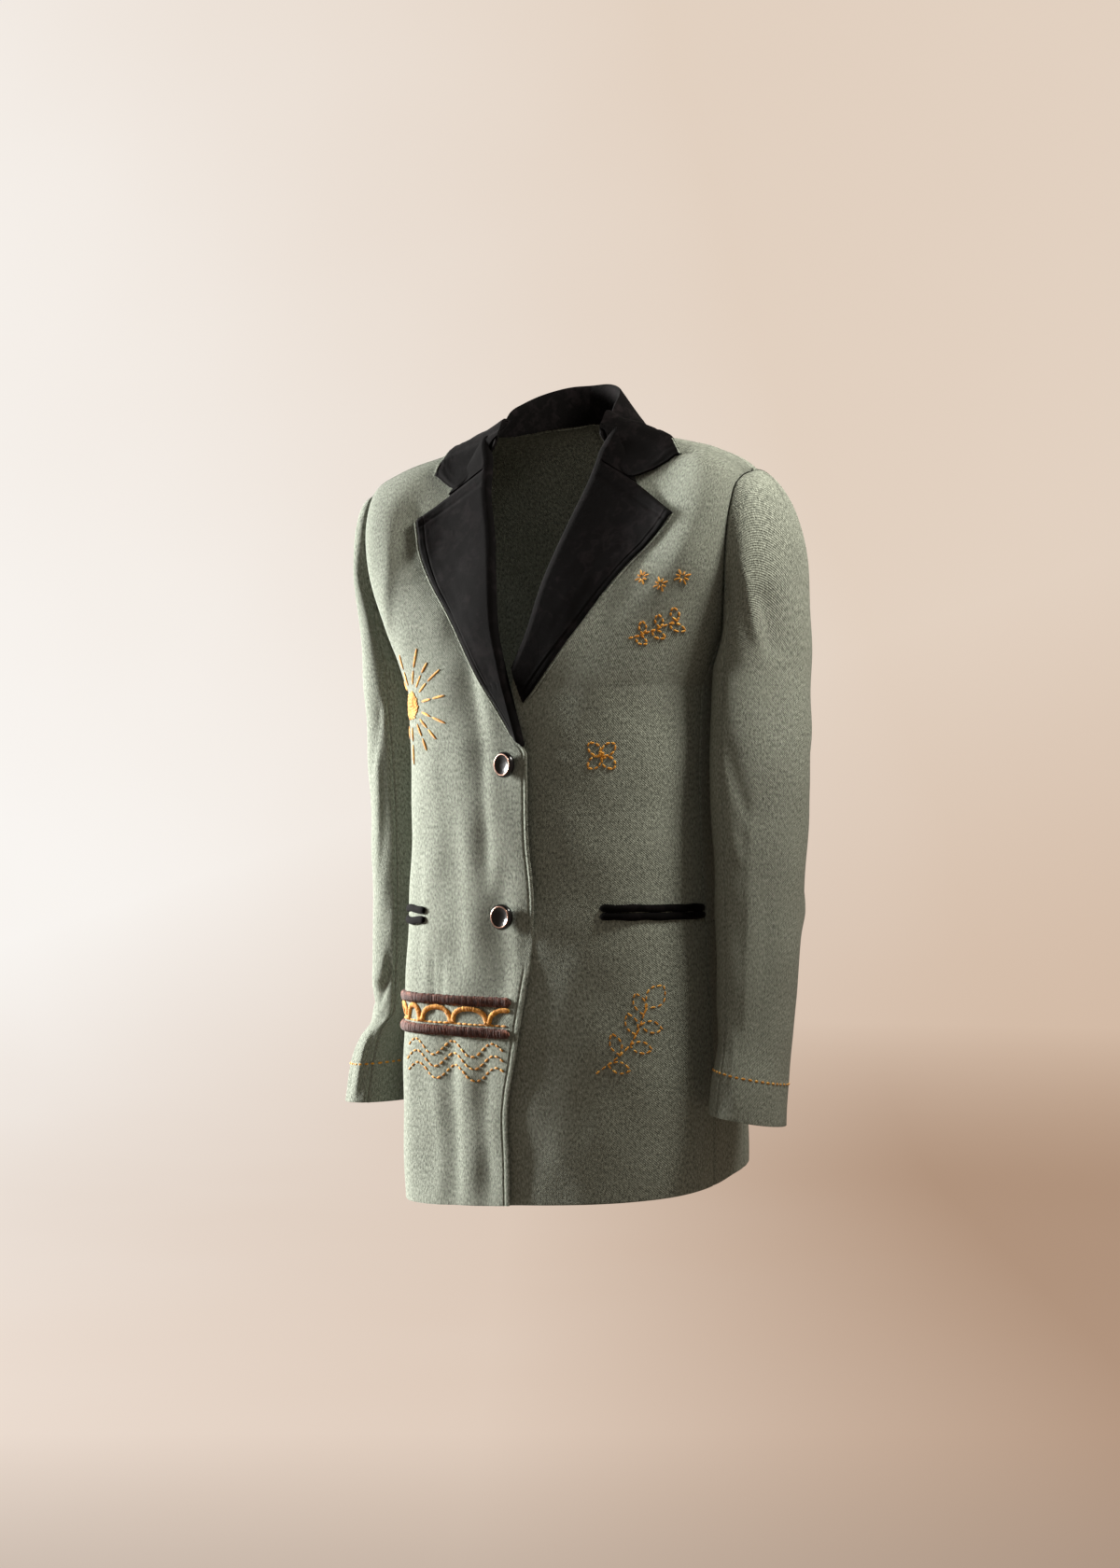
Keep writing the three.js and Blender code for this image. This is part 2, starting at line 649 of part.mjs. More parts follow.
function collar() {
  const { halfCols, steps, crowd, notchFrom, notchLift } = COLLAR_SHAPE;
  const section = (side, k) => {
    const share = 1 - (1 - k / halfCols) ** crowd;
    const at = (name) => along(COLLAR, "share", share, name);
    const seam = onTop(at("seamX"), at("seamY"), SEAM_LIFT);
    const roll = clearOfShoulder(vec(at("rollX"), at("rollY"), at("rollZ")));
    const edge = onTop(at("edgeX") + side * at("drift"), at("edgeY"), FALL_LIFT);
    const outward = vec(edge.x - roll.x, edge.y - roll.y, 0).normalize();
    const middle = edge.clone().lerp(roll, COLLAR_SHAPE.middle).addScaledVector(outward, FALL_CROWN);
    middle.lerp(onFront(1, NOTCH.x, NOTCH.z, notchLift), between(share, notchFrom, 1));
    const under = roll.clone().sub(vec(0, 0, ROLL_DROP));
    const outside = under.clone().addScaledVector(outward, ROLL_RADIUS);
    const inside = under.clone().addScaledVector(outward, -ROLL_RADIUS * 0.6);
    const path = new THREE.CatmullRomCurve3([edge, middle, outside, roll, inside, seam], false, "centripetal");
    return path.getPoints(steps).map((point, j) => {
      const placed = j < steps - 2 ? clearOfShoulder(point) : point;
      return placed.setX(side * placed.x);
    });
  };
  // From the left gorge, over the back, to the right one.
  const sections = [];
  for (let k = halfCols; k >= -halfCols; k--) sections.push(section(k < 0 ? -1 : 1, Math.abs(k)));
  const pointAt = (i, j) => sections[i][j].clone();
  const place = (u, v, i, j) => {
    const across = pointAt(Math.min(i + 1, 2 * halfCols), j).sub(pointAt(Math.max(i - 1, 0), j));
    const up = pointAt(i, Math.min(j + 1, steps)).sub(pointAt(i, Math.max(j - 1, 0)));
    const normal = across.cross(up).normalize();
    const point = pointAt(i, j);
    return { out: point, in: point.clone().addScaledVector(normal, -VELVET) };
  };
  return shell(2 * halfCols, steps, place);
}

// ---------- Pocket welts, bands and braid ----------
// A strip across the front from one angle to another, with a point on each of the panel's own columns.
// The crossing lists, from low to high, how far up each line lies and how high it stands, outside and inside.
function strip(side, z, fromAngle, toAngle, crossing) {
  const middle = z - BUST_Z;
  const edge = side * frontEdge(side, middle);
  const lines = [fromAngle];
  for (let k = 0; k <= FRONT_COLS; k++) {
    const angle = lerp(edge, FRONT_SEAM, k / FRONT_COLS);
    if (angle > fromAngle + 1 && angle < toAngle - 1) lines.push(angle);
  }
  lines.push(toAngle);
  const cols = lines.length - 1;
  const place = (u, v, i, j) => {
    const angle = side * lines[side > 0 ? i : cols - i];
    const level = middle + crossing[j].up;
    const bare = bodyPoint(angle, level);
    const base = lap(side, bare.x, bare.z);
    return { out: onBody(angle, level, base + crossing[j].high), in: onBody(angle, level, base + REST_GAP) };
  };
  return shell(cols, crossing.length - 1, place);
}

function welt(side, z, innerX, sign) {
  const near = (sign * POCKET.slit) / 2;
  const far = near + sign * POCKET.welt;
  const crossing = [Math.min(near, far), (near + far) / 2, Math.max(near, far)].map((up, k) => ({
    up,
    high: k === 1 ? POCKET.proud + 0.4 : POCKET.proud,
  }));
  return strip(side, z, side * frontAt(innerX, z).angle, POCKET.lengthTo, crossing);
}

function band(index) {
  const crossing = [-1, -0.8, 0, 0.8, 1].map((k) => ({
    up: k * BAND.half,
    high: lerp(BAND.proud, 1.4, k * k),
  }));
  const z = BAND.z - index * BAND.spacing;
  return strip(-1, z, -frontAt(BAND.from, z).angle, angleAtGirth(z - BUST_Z, BAND.to), crossing);
}

// Half-round arches that stand on the lower band, joined by small dips. Each station of the braid has its
// centre, as a girth from the centre front and a height, and the way across the braid, out of the arch.
function scallops() {
  const count = Math.floor((BAND.to + BAND.from) / ARCH.pitch);
  const foot = BAND.z - BAND.spacing + BAND.half + ARCH.thick + 1;
  const stations = [];
  for (let k = count - 1; k >= 0; k--) {
    const centre = ARCH.first + ARCH.pitch * (k + 0.5);
    for (let turn = 0; turn <= 180; turn += 30) {
      const c = Math.cos(rad(turn));
      const s = Math.sin(rad(turn));
      stations.push({ girth: centre + ARCH.halfWidth * c, z: foot + ARCH.height * s, acrossX: c, acrossZ: s });
    }
    const dip = { girth: centre - ARCH.pitch / 2, z: foot - ARCH.thick / 2 - 0.4, acrossX: 0, acrossZ: 1 };
    if (k > 0) stations.push(dip);
  }
  const place = (u, v, i, j) => {
    const station = stations[i];
    const offset = (j - 1) * (ARCH.thick / 2);
    const level = station.z + offset * station.acrossZ - BUST_Z;
    const angle = -angleAtGirth(level, station.girth + offset * station.acrossX);
    const bare = bodyPoint(angle, level);
    const base = lap(-1, bare.x, bare.z);
    const high = j === 1 ? ARCH.proud : ARCH.side;
    return { out: onBody(angle, level, base + high), in: onBody(angle, level, base + REST_GAP) };
  };
  return shell(stations.length - 1, 2, place);
}

// ---------- Buttons ----------
function buttonShape() {
  const r = BUTTON.radius;
  const h = BUTTON.height;
  const profile = [
    [0, 0],
    [r * 0.62, 0],
    [r * 0.72, 1.2],
    [r * 0.95, 2.6],
    [r, 4.6],
    [r * 0.96, h - 1.6],
    [r * 0.84, h - 0.3],
    [r * 0.7, h],
    [r * 0.6, h - 0.7],
    [r * 0.46, h - 2.4],
    [0, h - 2.9],
  ];
  return new THREE.LatheGeometry(profile.map(([x, y]) => new THREE.Vector2(x, y)), 28);
}

function button(x, z) {
  const spot = frontAt(x, z);
  const base = onBody(spot.angle, spot.level, LAP.lift + REST_GAP);
  const way = onBody(spot.angle, spot.level, LAP.lift + 10).sub(base).normalize();
  const geometry = buttonShape();
  geometry.applyQuaternion(new THREE.Quaternion().setFromUnitVectors(vec(0, 1, 0), way));
  return geometry.translate(base.x, base.y, base.z);
}

// ---------- The blazer ----------
const WOOL = { color: 0x7c8a7d, roughness: 0.95, metalness: 0 };
const BLACK_VELVET = { color: 0x0d0c0d, roughness: 0.9, metalness: 0 };
const BROWN_YARN = { color: 0x6a4034, roughness: 0.95, metalness: 0 };
const GOLD_YARN = { color: 0xc8892f, roughness: 0.9, metalness: 0 };
const GLOSS_BLACK = { color: 0x0c0b0c, roughness: 0.25, metalness: 0.1 };

const group = new THREE.Group();
const add = (name, geometry, look) => {
  const mesh = new THREE.Mesh(geometry, new THREE.MeshStandardMaterial(look));
  mesh.name = name;
  group.add(mesh);
};

for (const [hand, side, sleeveTable, lapelTable] of [
  ["right", -1, SLEEVE_RIGHT, LAPEL_RIGHT],
  ["left", 1, SLEEVE_LEFT, LAPEL_LEFT],
]) {
  add("front_" + hand, front(side), WOOL);
  add("side_" + hand, sidePanel(side), WOOL);
  add("back_" + hand, back(side), WOOL);
  add("top_sleeve_" + hand, sleeve(side, sleeveTable, -SLEEVE_TURN, SLEEVE_TURN), WOOL);
  add("under_sleeve_" + hand, sleeve(side, sleeveTable, SLEEVE_TURN, 360 - SLEEVE_TURN), WOOL);
  add("lapel_" + hand, lapel(side, lapelTable), BLACK_VELVET);
}
add("collar", collar(), BLACK_VELVET);
for (const [hand, side, centreZ, innerX] of [
  ["right", -1, -460.5, -99],
  ["left", 1, -454.5, 89],
]) {
  add("pocket_" + hand + "_upper_welt", welt(side, centreZ, innerX, 1), BLACK_VELVET);
  add("pocket_" + hand + "_lower_welt", welt(side, centreZ, innerX, -1), BLACK_VELVET);
}
add("band_upper", band(0), BROWN_YARN);
add("band_lower", band(1), BROWN_YARN);
add("scallop_braid", scallops(), GOLD_YARN);
add("button_top", button(2, -321), GLOSS_BLACK);
add("button_bottom", button(-3, -460), GLOSS_BLACK);

export default group;
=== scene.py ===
# %% [markdown]
# # An embroidered blazer
# A long wool blazer with a velvet collar and lapels, worn by nobody: the cloth keeps the hollow shape
# of a body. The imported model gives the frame, with a plain solid for each piece. Each soft solid is
# replaced here by a thin shell on the same form, because a shell can carry folds, seams and stitches.

# %% Load the frame
import json

import bmesh
import bpy
import numpy as np
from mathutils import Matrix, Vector

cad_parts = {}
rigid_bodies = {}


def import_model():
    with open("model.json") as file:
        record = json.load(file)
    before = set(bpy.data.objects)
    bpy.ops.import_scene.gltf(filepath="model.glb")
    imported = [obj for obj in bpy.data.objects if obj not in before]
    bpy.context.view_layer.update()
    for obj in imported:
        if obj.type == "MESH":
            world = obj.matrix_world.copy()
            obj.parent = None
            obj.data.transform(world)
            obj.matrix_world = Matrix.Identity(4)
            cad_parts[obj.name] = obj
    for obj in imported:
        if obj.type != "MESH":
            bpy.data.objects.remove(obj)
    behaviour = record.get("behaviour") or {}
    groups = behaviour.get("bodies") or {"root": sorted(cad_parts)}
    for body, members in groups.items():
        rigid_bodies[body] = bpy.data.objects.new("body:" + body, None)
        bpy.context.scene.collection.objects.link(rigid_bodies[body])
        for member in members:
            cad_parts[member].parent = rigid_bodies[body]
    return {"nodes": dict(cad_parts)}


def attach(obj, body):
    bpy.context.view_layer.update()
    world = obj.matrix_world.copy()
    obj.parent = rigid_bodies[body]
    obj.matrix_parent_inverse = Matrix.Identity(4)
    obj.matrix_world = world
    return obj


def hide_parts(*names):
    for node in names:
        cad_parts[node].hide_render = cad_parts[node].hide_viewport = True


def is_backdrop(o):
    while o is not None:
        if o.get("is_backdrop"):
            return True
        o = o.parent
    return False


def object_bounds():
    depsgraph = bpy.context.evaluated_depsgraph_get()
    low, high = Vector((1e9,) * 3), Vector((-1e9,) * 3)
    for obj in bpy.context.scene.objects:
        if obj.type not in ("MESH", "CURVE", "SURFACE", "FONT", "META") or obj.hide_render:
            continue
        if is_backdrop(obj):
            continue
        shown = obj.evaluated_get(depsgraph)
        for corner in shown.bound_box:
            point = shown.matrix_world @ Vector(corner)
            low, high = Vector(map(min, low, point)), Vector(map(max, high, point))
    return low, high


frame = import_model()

cad_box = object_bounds()
MM = 0.001
print("nodes in the frame:", len(frame["nodes"]))

# %% [markdown]
# The camera stands 2.6 m away, level, and 30 degrees round to the wearer's left, so that the left
# sleeve shows whole and the right one in part. A constraint could aim it, but plain numbers are easier
# to check: the view's own right and forward directions give its place in one line.

# %% Camera
VIEW = {"turn": 30.0, "distance": 2600.0, "aside": 2.4, "height": -364.0, "focal": 2961.0, "horizon": 870.0}
IMAGE = {"wide": 1200, "high": 1680}
view_turn = np.radians(VIEW["turn"])
view_way = np.array([-np.sin(view_turn), np.cos(view_turn), 0.0])
view_right = np.array([np.cos(view_turn), np.sin(view_turn), 0.0])
camera = bpy.data.objects.new("camera", bpy.data.cameras.new("camera"))
bpy.context.scene.collection.objects.link(camera)
bpy.context.scene.camera = camera
camera.data.sensor_fit = "VERTICAL"
camera.data.sensor_height = 36
camera.data.lens = 36 * VIEW["focal"] / IMAGE["high"]
camera.data.shift_y = (VIEW["horizon"] - IMAGE["high"] / 2) / IMAGE["high"]
camera.data.clip_end = 100
camera.location = (view_right * VIEW["aside"] - view_way * VIEW["distance"] + [0, 0, VIEW["height"]]) * MM
camera.rotation_euler = (np.radians(90), 0, view_turn)
print("camera at", [round(value, 3) for value in camera.location])

# %% [markdown]
# Tables hold every measured size, in millimetres, and a column is read by its name. A garment could be
# drawn point by point, but its lines are smooth: a short table with a smooth curve through it gives
# the same line from a few numbers, and one number can be changed without leaving a dent.

# %% Number helpers
def columns(names, *rows):
    table = dict(zip(names.split(), np.array(rows, float).T))
    table["step"] = np.linspace(0, 1, len(rows))
    return table

def rows_of(names, *rows):
    return [dict(zip(names.split(), row)) for row in rows]

def lerp(a, b, t):
    return a + (b - a) * t

def smooth(x, low, high):
    t = np.clip((np.asarray(x, float) - low) / (high - low), 0, 1)
    return t * t * (3 - 2 * t)

def stretches(*runs):
    """Even steps from run to run, each given by its start, its end and its count of points."""
    return np.concatenate([[runs[0][0]]] + [np.linspace(*run)[1:] for run in runs])

def hump(x, width):
    return np.exp(-(np.asarray(x, float) / width) ** 2)

def stack(*parts):
    return np.stack(np.broadcast_arrays(*[np.asarray(part, float) for part in parts]), -1)

def unit(vectors):
    return vectors / np.maximum(np.linalg.norm(vectors, axis=-1, keepdims=True), 1e-9)

def sine(degrees):
    return np.sin(np.radians(degrees))

def cosine(degrees):
    return np.cos(np.radians(degrees))

def along(table, by, value, name):
    """A smooth curve through a table's column."""
    xs, ys = table[by], table[name]
    x = np.clip(value, xs[0], xs[-1])
    k = np.clip(np.searchsorted(xs, x) - 1, 0, len(xs) - 2)
    low = np.maximum(np.arange(len(xs)) - 1, 0)
    high = np.minimum(np.arange(len(xs)) + 1, len(xs) - 1)
    slope = (ys[high] - ys[low]) / (xs[high] - xs[low])
    span = xs[k + 1] - xs[k]
    t = (x - xs[k]) / span
    ends = ys[k] * (1 + 2 * t) * (1 - t) ** 2 + ys[k + 1] * t * t * (3 - 2 * t)
    return ends + slope[k] * span * t * (1 - t) ** 2 + slope[k + 1] * span * t * t * (t - 1)

def solve(low, high, rising, target, halvings=30):
    """Where a rising function of an array reaches its target."""
    target = np.asarray(target, float)
    a, b = np.full(target.shape, float(low)), np.full(target.shape, float(high))
    for _ in range(halvings):
        middle = (a + b) / 2
        short = rising(middle) < target
        a, b = np.where(short, middle, a), np.where(short, b, middle)
    return (a + b) / 2

print("helpers ready")

# %% [markdown]
# The jacket's form comes first, because every piece lies on it. It could be sculpted, but then panels,
# pockets and stitches would each need a way to find it. A function can be asked for any point, and for
# the way out of the cloth there. A point has an angle from the centre front and a level: negative is
# millimetres below the bust line, and 0 to 1 is the rise from there to the shoulder ridge.

# %% The body
CLOTH = 2.2
# The arch leans in gently over its first rise, and its section gets squarer toward the shoulder.
ARCH_EASE, SQUARER = 0.2, 2.5
BUST_Z, BUST_HALF, SHOULDER_HALF = -250, 150, 204
BODY = columns("z half front back side power",
    [-740, 160, -82, 170, 30, 2.9], [-640, 160, -85, 158, 30, 2.9], [-560, 157, -88, 146, 28, 2.9],
    [-480, 153, -88, 134, 27, 2.9], [-410, 149, -87, 122, 26, 2.9], [-330, 147, -88, 120, 25, 3.0],
    [BUST_Z, BUST_HALF, -88, 128, 24, 3.1])
RIDGE = columns("x z", [0, 20], [40, 12], [75, -5], [100, -14], [120, -19.5], [143, -25], [160, -29.5],
    [175, -35.5], [190, -43], [SHOULDER_HALF, -54])
ARCH = columns("rise front_centre front_arm back_centre back_arm",
    [0, 1, 1, 1, 1], [0.2, 0.9, 0.97, 0.99, 0.985], [0.37, 0.77, 0.91, 0.975, 0.95],
    [0.55, 0.57, 0.82, 0.94, 0.87], [0.72, 0.4, 0.68, 0.86, 0.75], [0.83, 0.275, 0.54, 0.77, 0.62],
    [0.92, 0.185, 0.38, 0.65, 0.45], [0.97, 0.12, 0.24, 0.5, 0.29], [0.99, 0.07, 0.14, 0.32, 0.17],
    [1, 0, 0, 0, 0])
HEM = columns("angle z", [-180, -702], [-120, -716], [-63, -731], [-20, -727], [0, -724], [39, -718],
    [82, -706], [125, -692], [180, -702])

def ridge_z(x):
    return along(RIDGE, "x", np.abs(x), "z")

def body(angle, level):
    angle, level = np.broadcast_arrays(np.asarray(angle, float), np.asarray(level, float))
    rise = np.clip(level, 0, 1)
    z = BUST_Z + np.minimum(level, 0)
    s, c = sine(angle), cosine(angle)
    swell = sine(90 * rise)
    side = along(BODY, "z", z, "side")
    depth = np.where(c >= 0, side - along(BODY, "z", z, "front"), along(BODY, "z", z, "back") - side)
    power = along(BODY, "z", z, "power") + SQUARER * swell ** 2
    reach = (np.abs(s / along(BODY, "z", z, "half")) ** power + np.abs(c / depth) ** power) ** (-1 / power)
    x, y = reach * s, side - reach * c
    top = x * SHOULDER_HALF / BUST_HALF
    arm = smooth(np.abs(x) / BUST_HALF, 0.5, 0.97)
    eased = np.where(rise < ARCH_EASE, 2 * rise ** 2 / ARCH_EASE - rise ** 3 / ARCH_EASE ** 2, rise)
    keep = {}
    for half in ("front", "back"):
        centre = along(ARCH, "rise", eased, half + "_centre")
        keep[half] = lerp(centre, along(ARCH, "rise", eased, half + "_arm"), arm)
    height = np.where(level <= 0, z, lerp(BUST_Z, ridge_z(top), rise))
    return stack(lerp(x, top, swell), y * np.where(c >= 0, keep["front"], keep["back"]), height)

def body_normal(angle, level):
    level = np.asarray(level, float)
    step = np.where(level < 0, 1, 0.004)
    across = body(angle + 0.3, level) - body(angle - 0.3, level)
    up = body(angle, np.minimum(level + step, 1)) - body(angle, level - step)
    x = body(angle, level)[..., 0]
    square = unit(stack((ridge_z(x - 3) - ridge_z(x + 3)) / 6, 0, 1))
    return unit(lerp(unit(np.cross(across, up)), square, smooth(level, 0.9, 1)[..., None]))

def on_body(angle, level, lift):
    return body(angle, level) + body_normal(angle, level) * np.asarray(lift, float)[..., None]

def angle_at_x(x, level, back=False):
    """The angle at which the front, or the back, has a given breadth."""
    x, level = np.broadcast_arrays(np.asarray(x, float), np.asarray(level, float))
    z, swell = BUST_Z + np.minimum(level, 0), sine(90 * np.clip(level, 0, 1))
    side, half = along(BODY, "z", z, "side"), along(BODY, "z", z, "half")
    depth = side - along(BODY, "z", z, "back") if back else side - along(BODY, "z", z, "front")
    power = along(BODY, "z", z, "power") + SQUARER * swell ** 2
    base = x / lerp(1, SHOULDER_HALF / BUST_HALF, swell)
    rest = 1 - np.minimum(np.abs(base) / half, 1) ** power
    return np.degrees(np.arctan2(base, depth * rest ** (1 / power)))

def front_at(x, z):
    """Angle and level of the front's point at a given breadth and height."""
    x, z = np.broadcast_arrays(np.asarray(x, float), np.asarray(z, float))
    ridge = np.full(x.shape, -10.0)
    for _ in range(10):
        rise = np.clip((z - BUST_Z) / (ridge - BUST_Z), 0, 1)
        base = np.abs(x) / (1 + (SHOULDER_HALF / BUST_HALF - 1) * sine(90 * rise))
        ridge = ridge_z(base * SHOULDER_HALF / BUST_HALF)
    level = np.where(z > BUST_Z, rise, z - BUST_Z)
    return angle_at_x(x, level), level

LAP = {"lift": 2.8, "flare": 3.2, "held_share": 1.5, "held_z": -485, "held_reach": 48}

def lap(side, x, z):
    """How far the right front stands off the form, to lap over the left one.
    Its edge flares out, except where the lower button holds it."""
    held = LAP["held_share"] * hump(z - LAP["held_z"], LAP["held_reach"])
    flare = LAP["flare"] * smooth(x, -34, 24) * (1 - smooth(z, -330, -250)) * (1 - held)
    return (LAP["lift"] * smooth(x, -78, -30) * (1 - smooth(z, -190, -90)) + flare) * (side < 0)

def on_front(side, x, z, lift):
    angle, level = front_at(x, z)
    return on_body(angle, level, lift + lap(side, np.asarray(x, float), np.asarray(z, float)))

def at_girth(z, girth):
    """The angle that lies a given way round from the centre front, along the cloth at one height."""
    turns = np.arange(0, 181, 0.5)
    ring = body(turns, z - BUST_Z)
    length = np.concatenate([[0], np.cumsum(np.linalg.norm(np.diff(ring, axis=0), axis=1))])
    return np.sign(girth) * np.interp(np.abs(girth), length, turns)

def hem_level(angle):
    return along(HEM, "angle", angle, "z") - BUST_Z

half_girth = np.linalg.norm(np.diff(body(np.arange(0, 181.0), 0), axis=0), axis=1).sum()
print("bust girth", round(float(2 * half_girth)), "mm")

# %% [markdown]
# Body and sleeve meet at the armhole. It could be cut with a boolean, but that leaves ragged faces
# along the seam. Here it is a loop of points on the body, 18 degrees apart from the shoulder down the
# front to the armpit and up the back, and the panels and the sleeve both start from these points.

# %% Armhole, edges and panel grids
PIT_RISE, SIDE_TURN, SLEEVE_TURN, HOLE_STEP = 0.17, 144, 108, 18.0
ARMHOLE = columns("rise front back", [PIT_RISE, 34, 34], [0.2, 16, 54], [0.26, 3, 68], [0.36, -10, 80],
    [0.5, -24, 84], [0.66, -33, 74], [0.8, -31, 56], [0.9, -23, 38], [0.96, -13, 22], [1, 0, 0])
EDGE = columns("z past", [-740, -1], [-680, -1], [-645, -2], [-620, 1], [-594, 7], [-552, 15], [-509, 22],
    [-462, 27], [-432, 27], [-390, 23], [-313, 22], [-305, 20], [-274, 10], [-238, -1], [-200, -14],
    [-155, -24], [-105, -38], [-63, -52], [-37, -57])
BREAK_Z, GORGE_X, GORGE_Z, NECK_HALF, NECK_BACK = -305, 57, -37, 72, 66

def rise_at(turn):
    return 1 - (1 - PIT_RISE) * (1 - cosine(turn)) / 2

def armhole_angle(turn):
    if turn % 360 == 0:
        return 90.0
    rise = rise_at(turn)
    back = turn > 180
    depth = along(ARMHOLE, "rise", rise, "back" if back else "front")
    return float(solve(90 if back else 1, 180 if back else 120, lambda a: body(a, rise)[..., 1], depth))

HOLE = {"turn": np.arange(0, 361, HOLE_STEP)}
HOLE["angle"] = np.array([armhole_angle(turn) for turn in HOLE["turn"]])

def turned(side, turn):
    turn = np.asarray(turn, float) % 360
    return side * along(HOLE, "turn", turn, "angle"), rise_at(turn)

FRONT_SEAM, BACK_SEAM = (float(turned(1, turn)[0]) for turn in (SIDE_TURN, 360 - SIDE_TURN))

# The panels share their rows. A row is a number: 0 at the hem, then the bust, armpit and shoulder.
BUST_ROW, PIT_ROW, TOP_ROW = 10, 12, 22

def row_level(row, angle):
    row, angle = np.broadcast_arrays(np.asarray(row, float), np.asarray(angle, float))
    skirt = hem_level(angle) * (1 - row / BUST_ROW)
    chest = PIT_RISE * (row - BUST_ROW) / (PIT_ROW - BUST_ROW)
    arch = rise_at(180 - (row - PIT_ROW) * HOLE_STEP)
    return np.where(row <= BUST_ROW, skirt, np.where(row <= PIT_ROW, chest, arch))

def arm_edge(side, row, back):
    turn = 180 - (np.asarray(row, float) - PIT_ROW) * HOLE_STEP
    seam = BACK_SEAM if back else FRONT_SEAM
    hole = turned(1, np.where(back, 360 - turn, turn))[0]
    return side * np.where(turn >= SIDE_TURN, seam, hole)

# The cut edge lies behind the lapel's roll, and the left skirt reaches further under the right one.
BEHIND_ROLL, UNDERLAP = 4.5, 8

def front_edge(side, level):
    """Angle of a front's inner edge: the button edge, and above the break the cut edge behind the roll."""
    level = np.asarray(level, float)
    x, z = np.zeros(level.shape), BUST_Z + np.minimum(level, 0)
    for _ in range(8):
        z = np.where(level > 0, lerp(BUST_Z, ridge_z(np.abs(x) + 4), np.clip(level, 0, 1)), z)
        past = along(EDGE, "z", z, "past") - BEHIND_ROLL * smooth(z, BREAK_Z - 6, BREAK_Z + 6)
        past = past + (UNDERLAP * (1 - smooth(z, -640, -560)) if side > 0 else 0)
        neck = -lerp(GORGE_X + BEHIND_ROLL, NECK_HALF, smooth(z, GORGE_Z, -6))
        x = -side * np.where(z > GORGE_Z, neck, past)
    return angle_at_x(x, level)

print("side seams at", round(FRONT_SEAM), "and", round(BACK_SEAM), "degrees")

# %% [markdown]
# Materials are formulas on shader nodes. They could be wired one link at a time, but then the formula
# can't be read. One small class stands for a socket, so that arithmetic on it adds the Math nodes, and
# one method makes every other node. Constants go straight onto the shader's own sockets.

# %% Shader formulas
class Wire:
    """A number that leaves a node. Arithmetic on it adds Math nodes."""
    def __init__(self, paint, socket):
        self.paint, self.socket = paint, socket
    def math(self, operation, *values):
        return self.paint.node("ShaderNodeMath", list(values), operation=operation)
    def __add__(self, other):
        return self.math("ADD", self, other)
    def __radd__(self, other):
        return self.math("ADD", other, self)
    def __sub__(self, other):
        return self.math("SUBTRACT", self, other)
    def __rsub__(self, other):
        return self.math("SUBTRACT", other, self)
    def __mul__(self, other):
        return self.math("MULTIPLY", self, other)
    def __rmul__(self, other):
        return self.math("MULTIPLY", other, self)
    def sine(self):
        return self.math("SINE", self)
    def power(self, exponent):
        return self.math("POWER", self, exponent)
    def clamp(self):
        return self.math("MAXIMUM", self.math("MINIMUM", self, 1.0), 0.0)

class Paint:
    """One material, and the nodes that its formulas need."""
    def __init__(self, name, **constants):
        self.material = bpy.data.materials.new(name)
        self.material.use_nodes = True
        self.tree = self.material.node_tree
        self.shader = self.tree.nodes["Principled BSDF"]
        for socket, value in constants.items():
            self.shader.inputs[socket.replace("_", " ")].default_value = value
    def node(self, kind, values, output=0, **settings):
        made = self.tree.nodes.new(kind)
        for key, value in settings.items():
            setattr(made, key, value)
        pairs = values.items() if isinstance(values, dict) else enumerate(values)
        for key, value in pairs:
            self.feed(made.inputs[key], value)
        return Wire(self, made.outputs[output])
    def feed(self, socket, value):
        if isinstance(value, Wire):
            self.tree.links.new(value.socket, socket)
        else:
            socket.default_value = value
    def place(self, kind="Object"):
        return self.node("ShaderNodeTexCoord", [], output=kind)
    def stretched(self, vector, scale, turn=0.0):
        values = {"Vector": vector, "Scale": scale, "Rotation": (0, 0, turn)}
        return self.node("ShaderNodeMapping", values)
    def noise(self, vector, scale, detail=2.0, roughness=0.5, output=0):
        values = {"Vector": vector, "Scale": scale, "Detail": detail, "Roughness": roughness}
        return self.node("ShaderNodeTexNoise", values, output=output)
    def axis(self, vector, name):
        return self.node("ShaderNodeSeparateXYZ", [vector], output=name)
    def mix(self, factor, a, b):
        return self.node("ShaderNodeMix", {0: factor, 6: a, 7: b}, output=2, data_type="RGBA")
    def spread(self, value, low, high):
        values = {"Value": value, "From Min": low, "From Max": high}
        return self.node("ShaderNodeMapRange", values)
    def surface(self, **wires):
        for socket, value in wires.items():
            self.feed(self.shader.inputs[socket.replace("_", " ")], value)
    def relief(self, height, distance, strength=1.0):
        values = {"Height": height, "Distance": distance, "Strength": strength}
        self.feed(self.shader.inputs["Normal"], self.node("ShaderNodeBump", values))

def colour(red, green, blue):
    """An sRGB colour of 0 to 255 as linear light."""
    srgb = np.array([red, green, blue]) / 255
    return (*np.where(srgb <= 0.04045, srgb / 12.92, ((srgb + 0.055) / 1.055) ** 2.4).tolist(), 1.0)

print("shader class ready")

# %% [markdown]
# The wool is a melange: green-grey fibres with paler and darker ones among them, in a fine twill that
# the nap half hides. A picture of cloth would repeat and blur close up, so the flecks are noise that is
# stretched along the twill. It reads the cloth's own map, which is in metres, and so it turns with
# each panel, as woven cloth does.

# %% Wool
TWILL_LINES, FULL_TURN = 3000.0, 6.2832

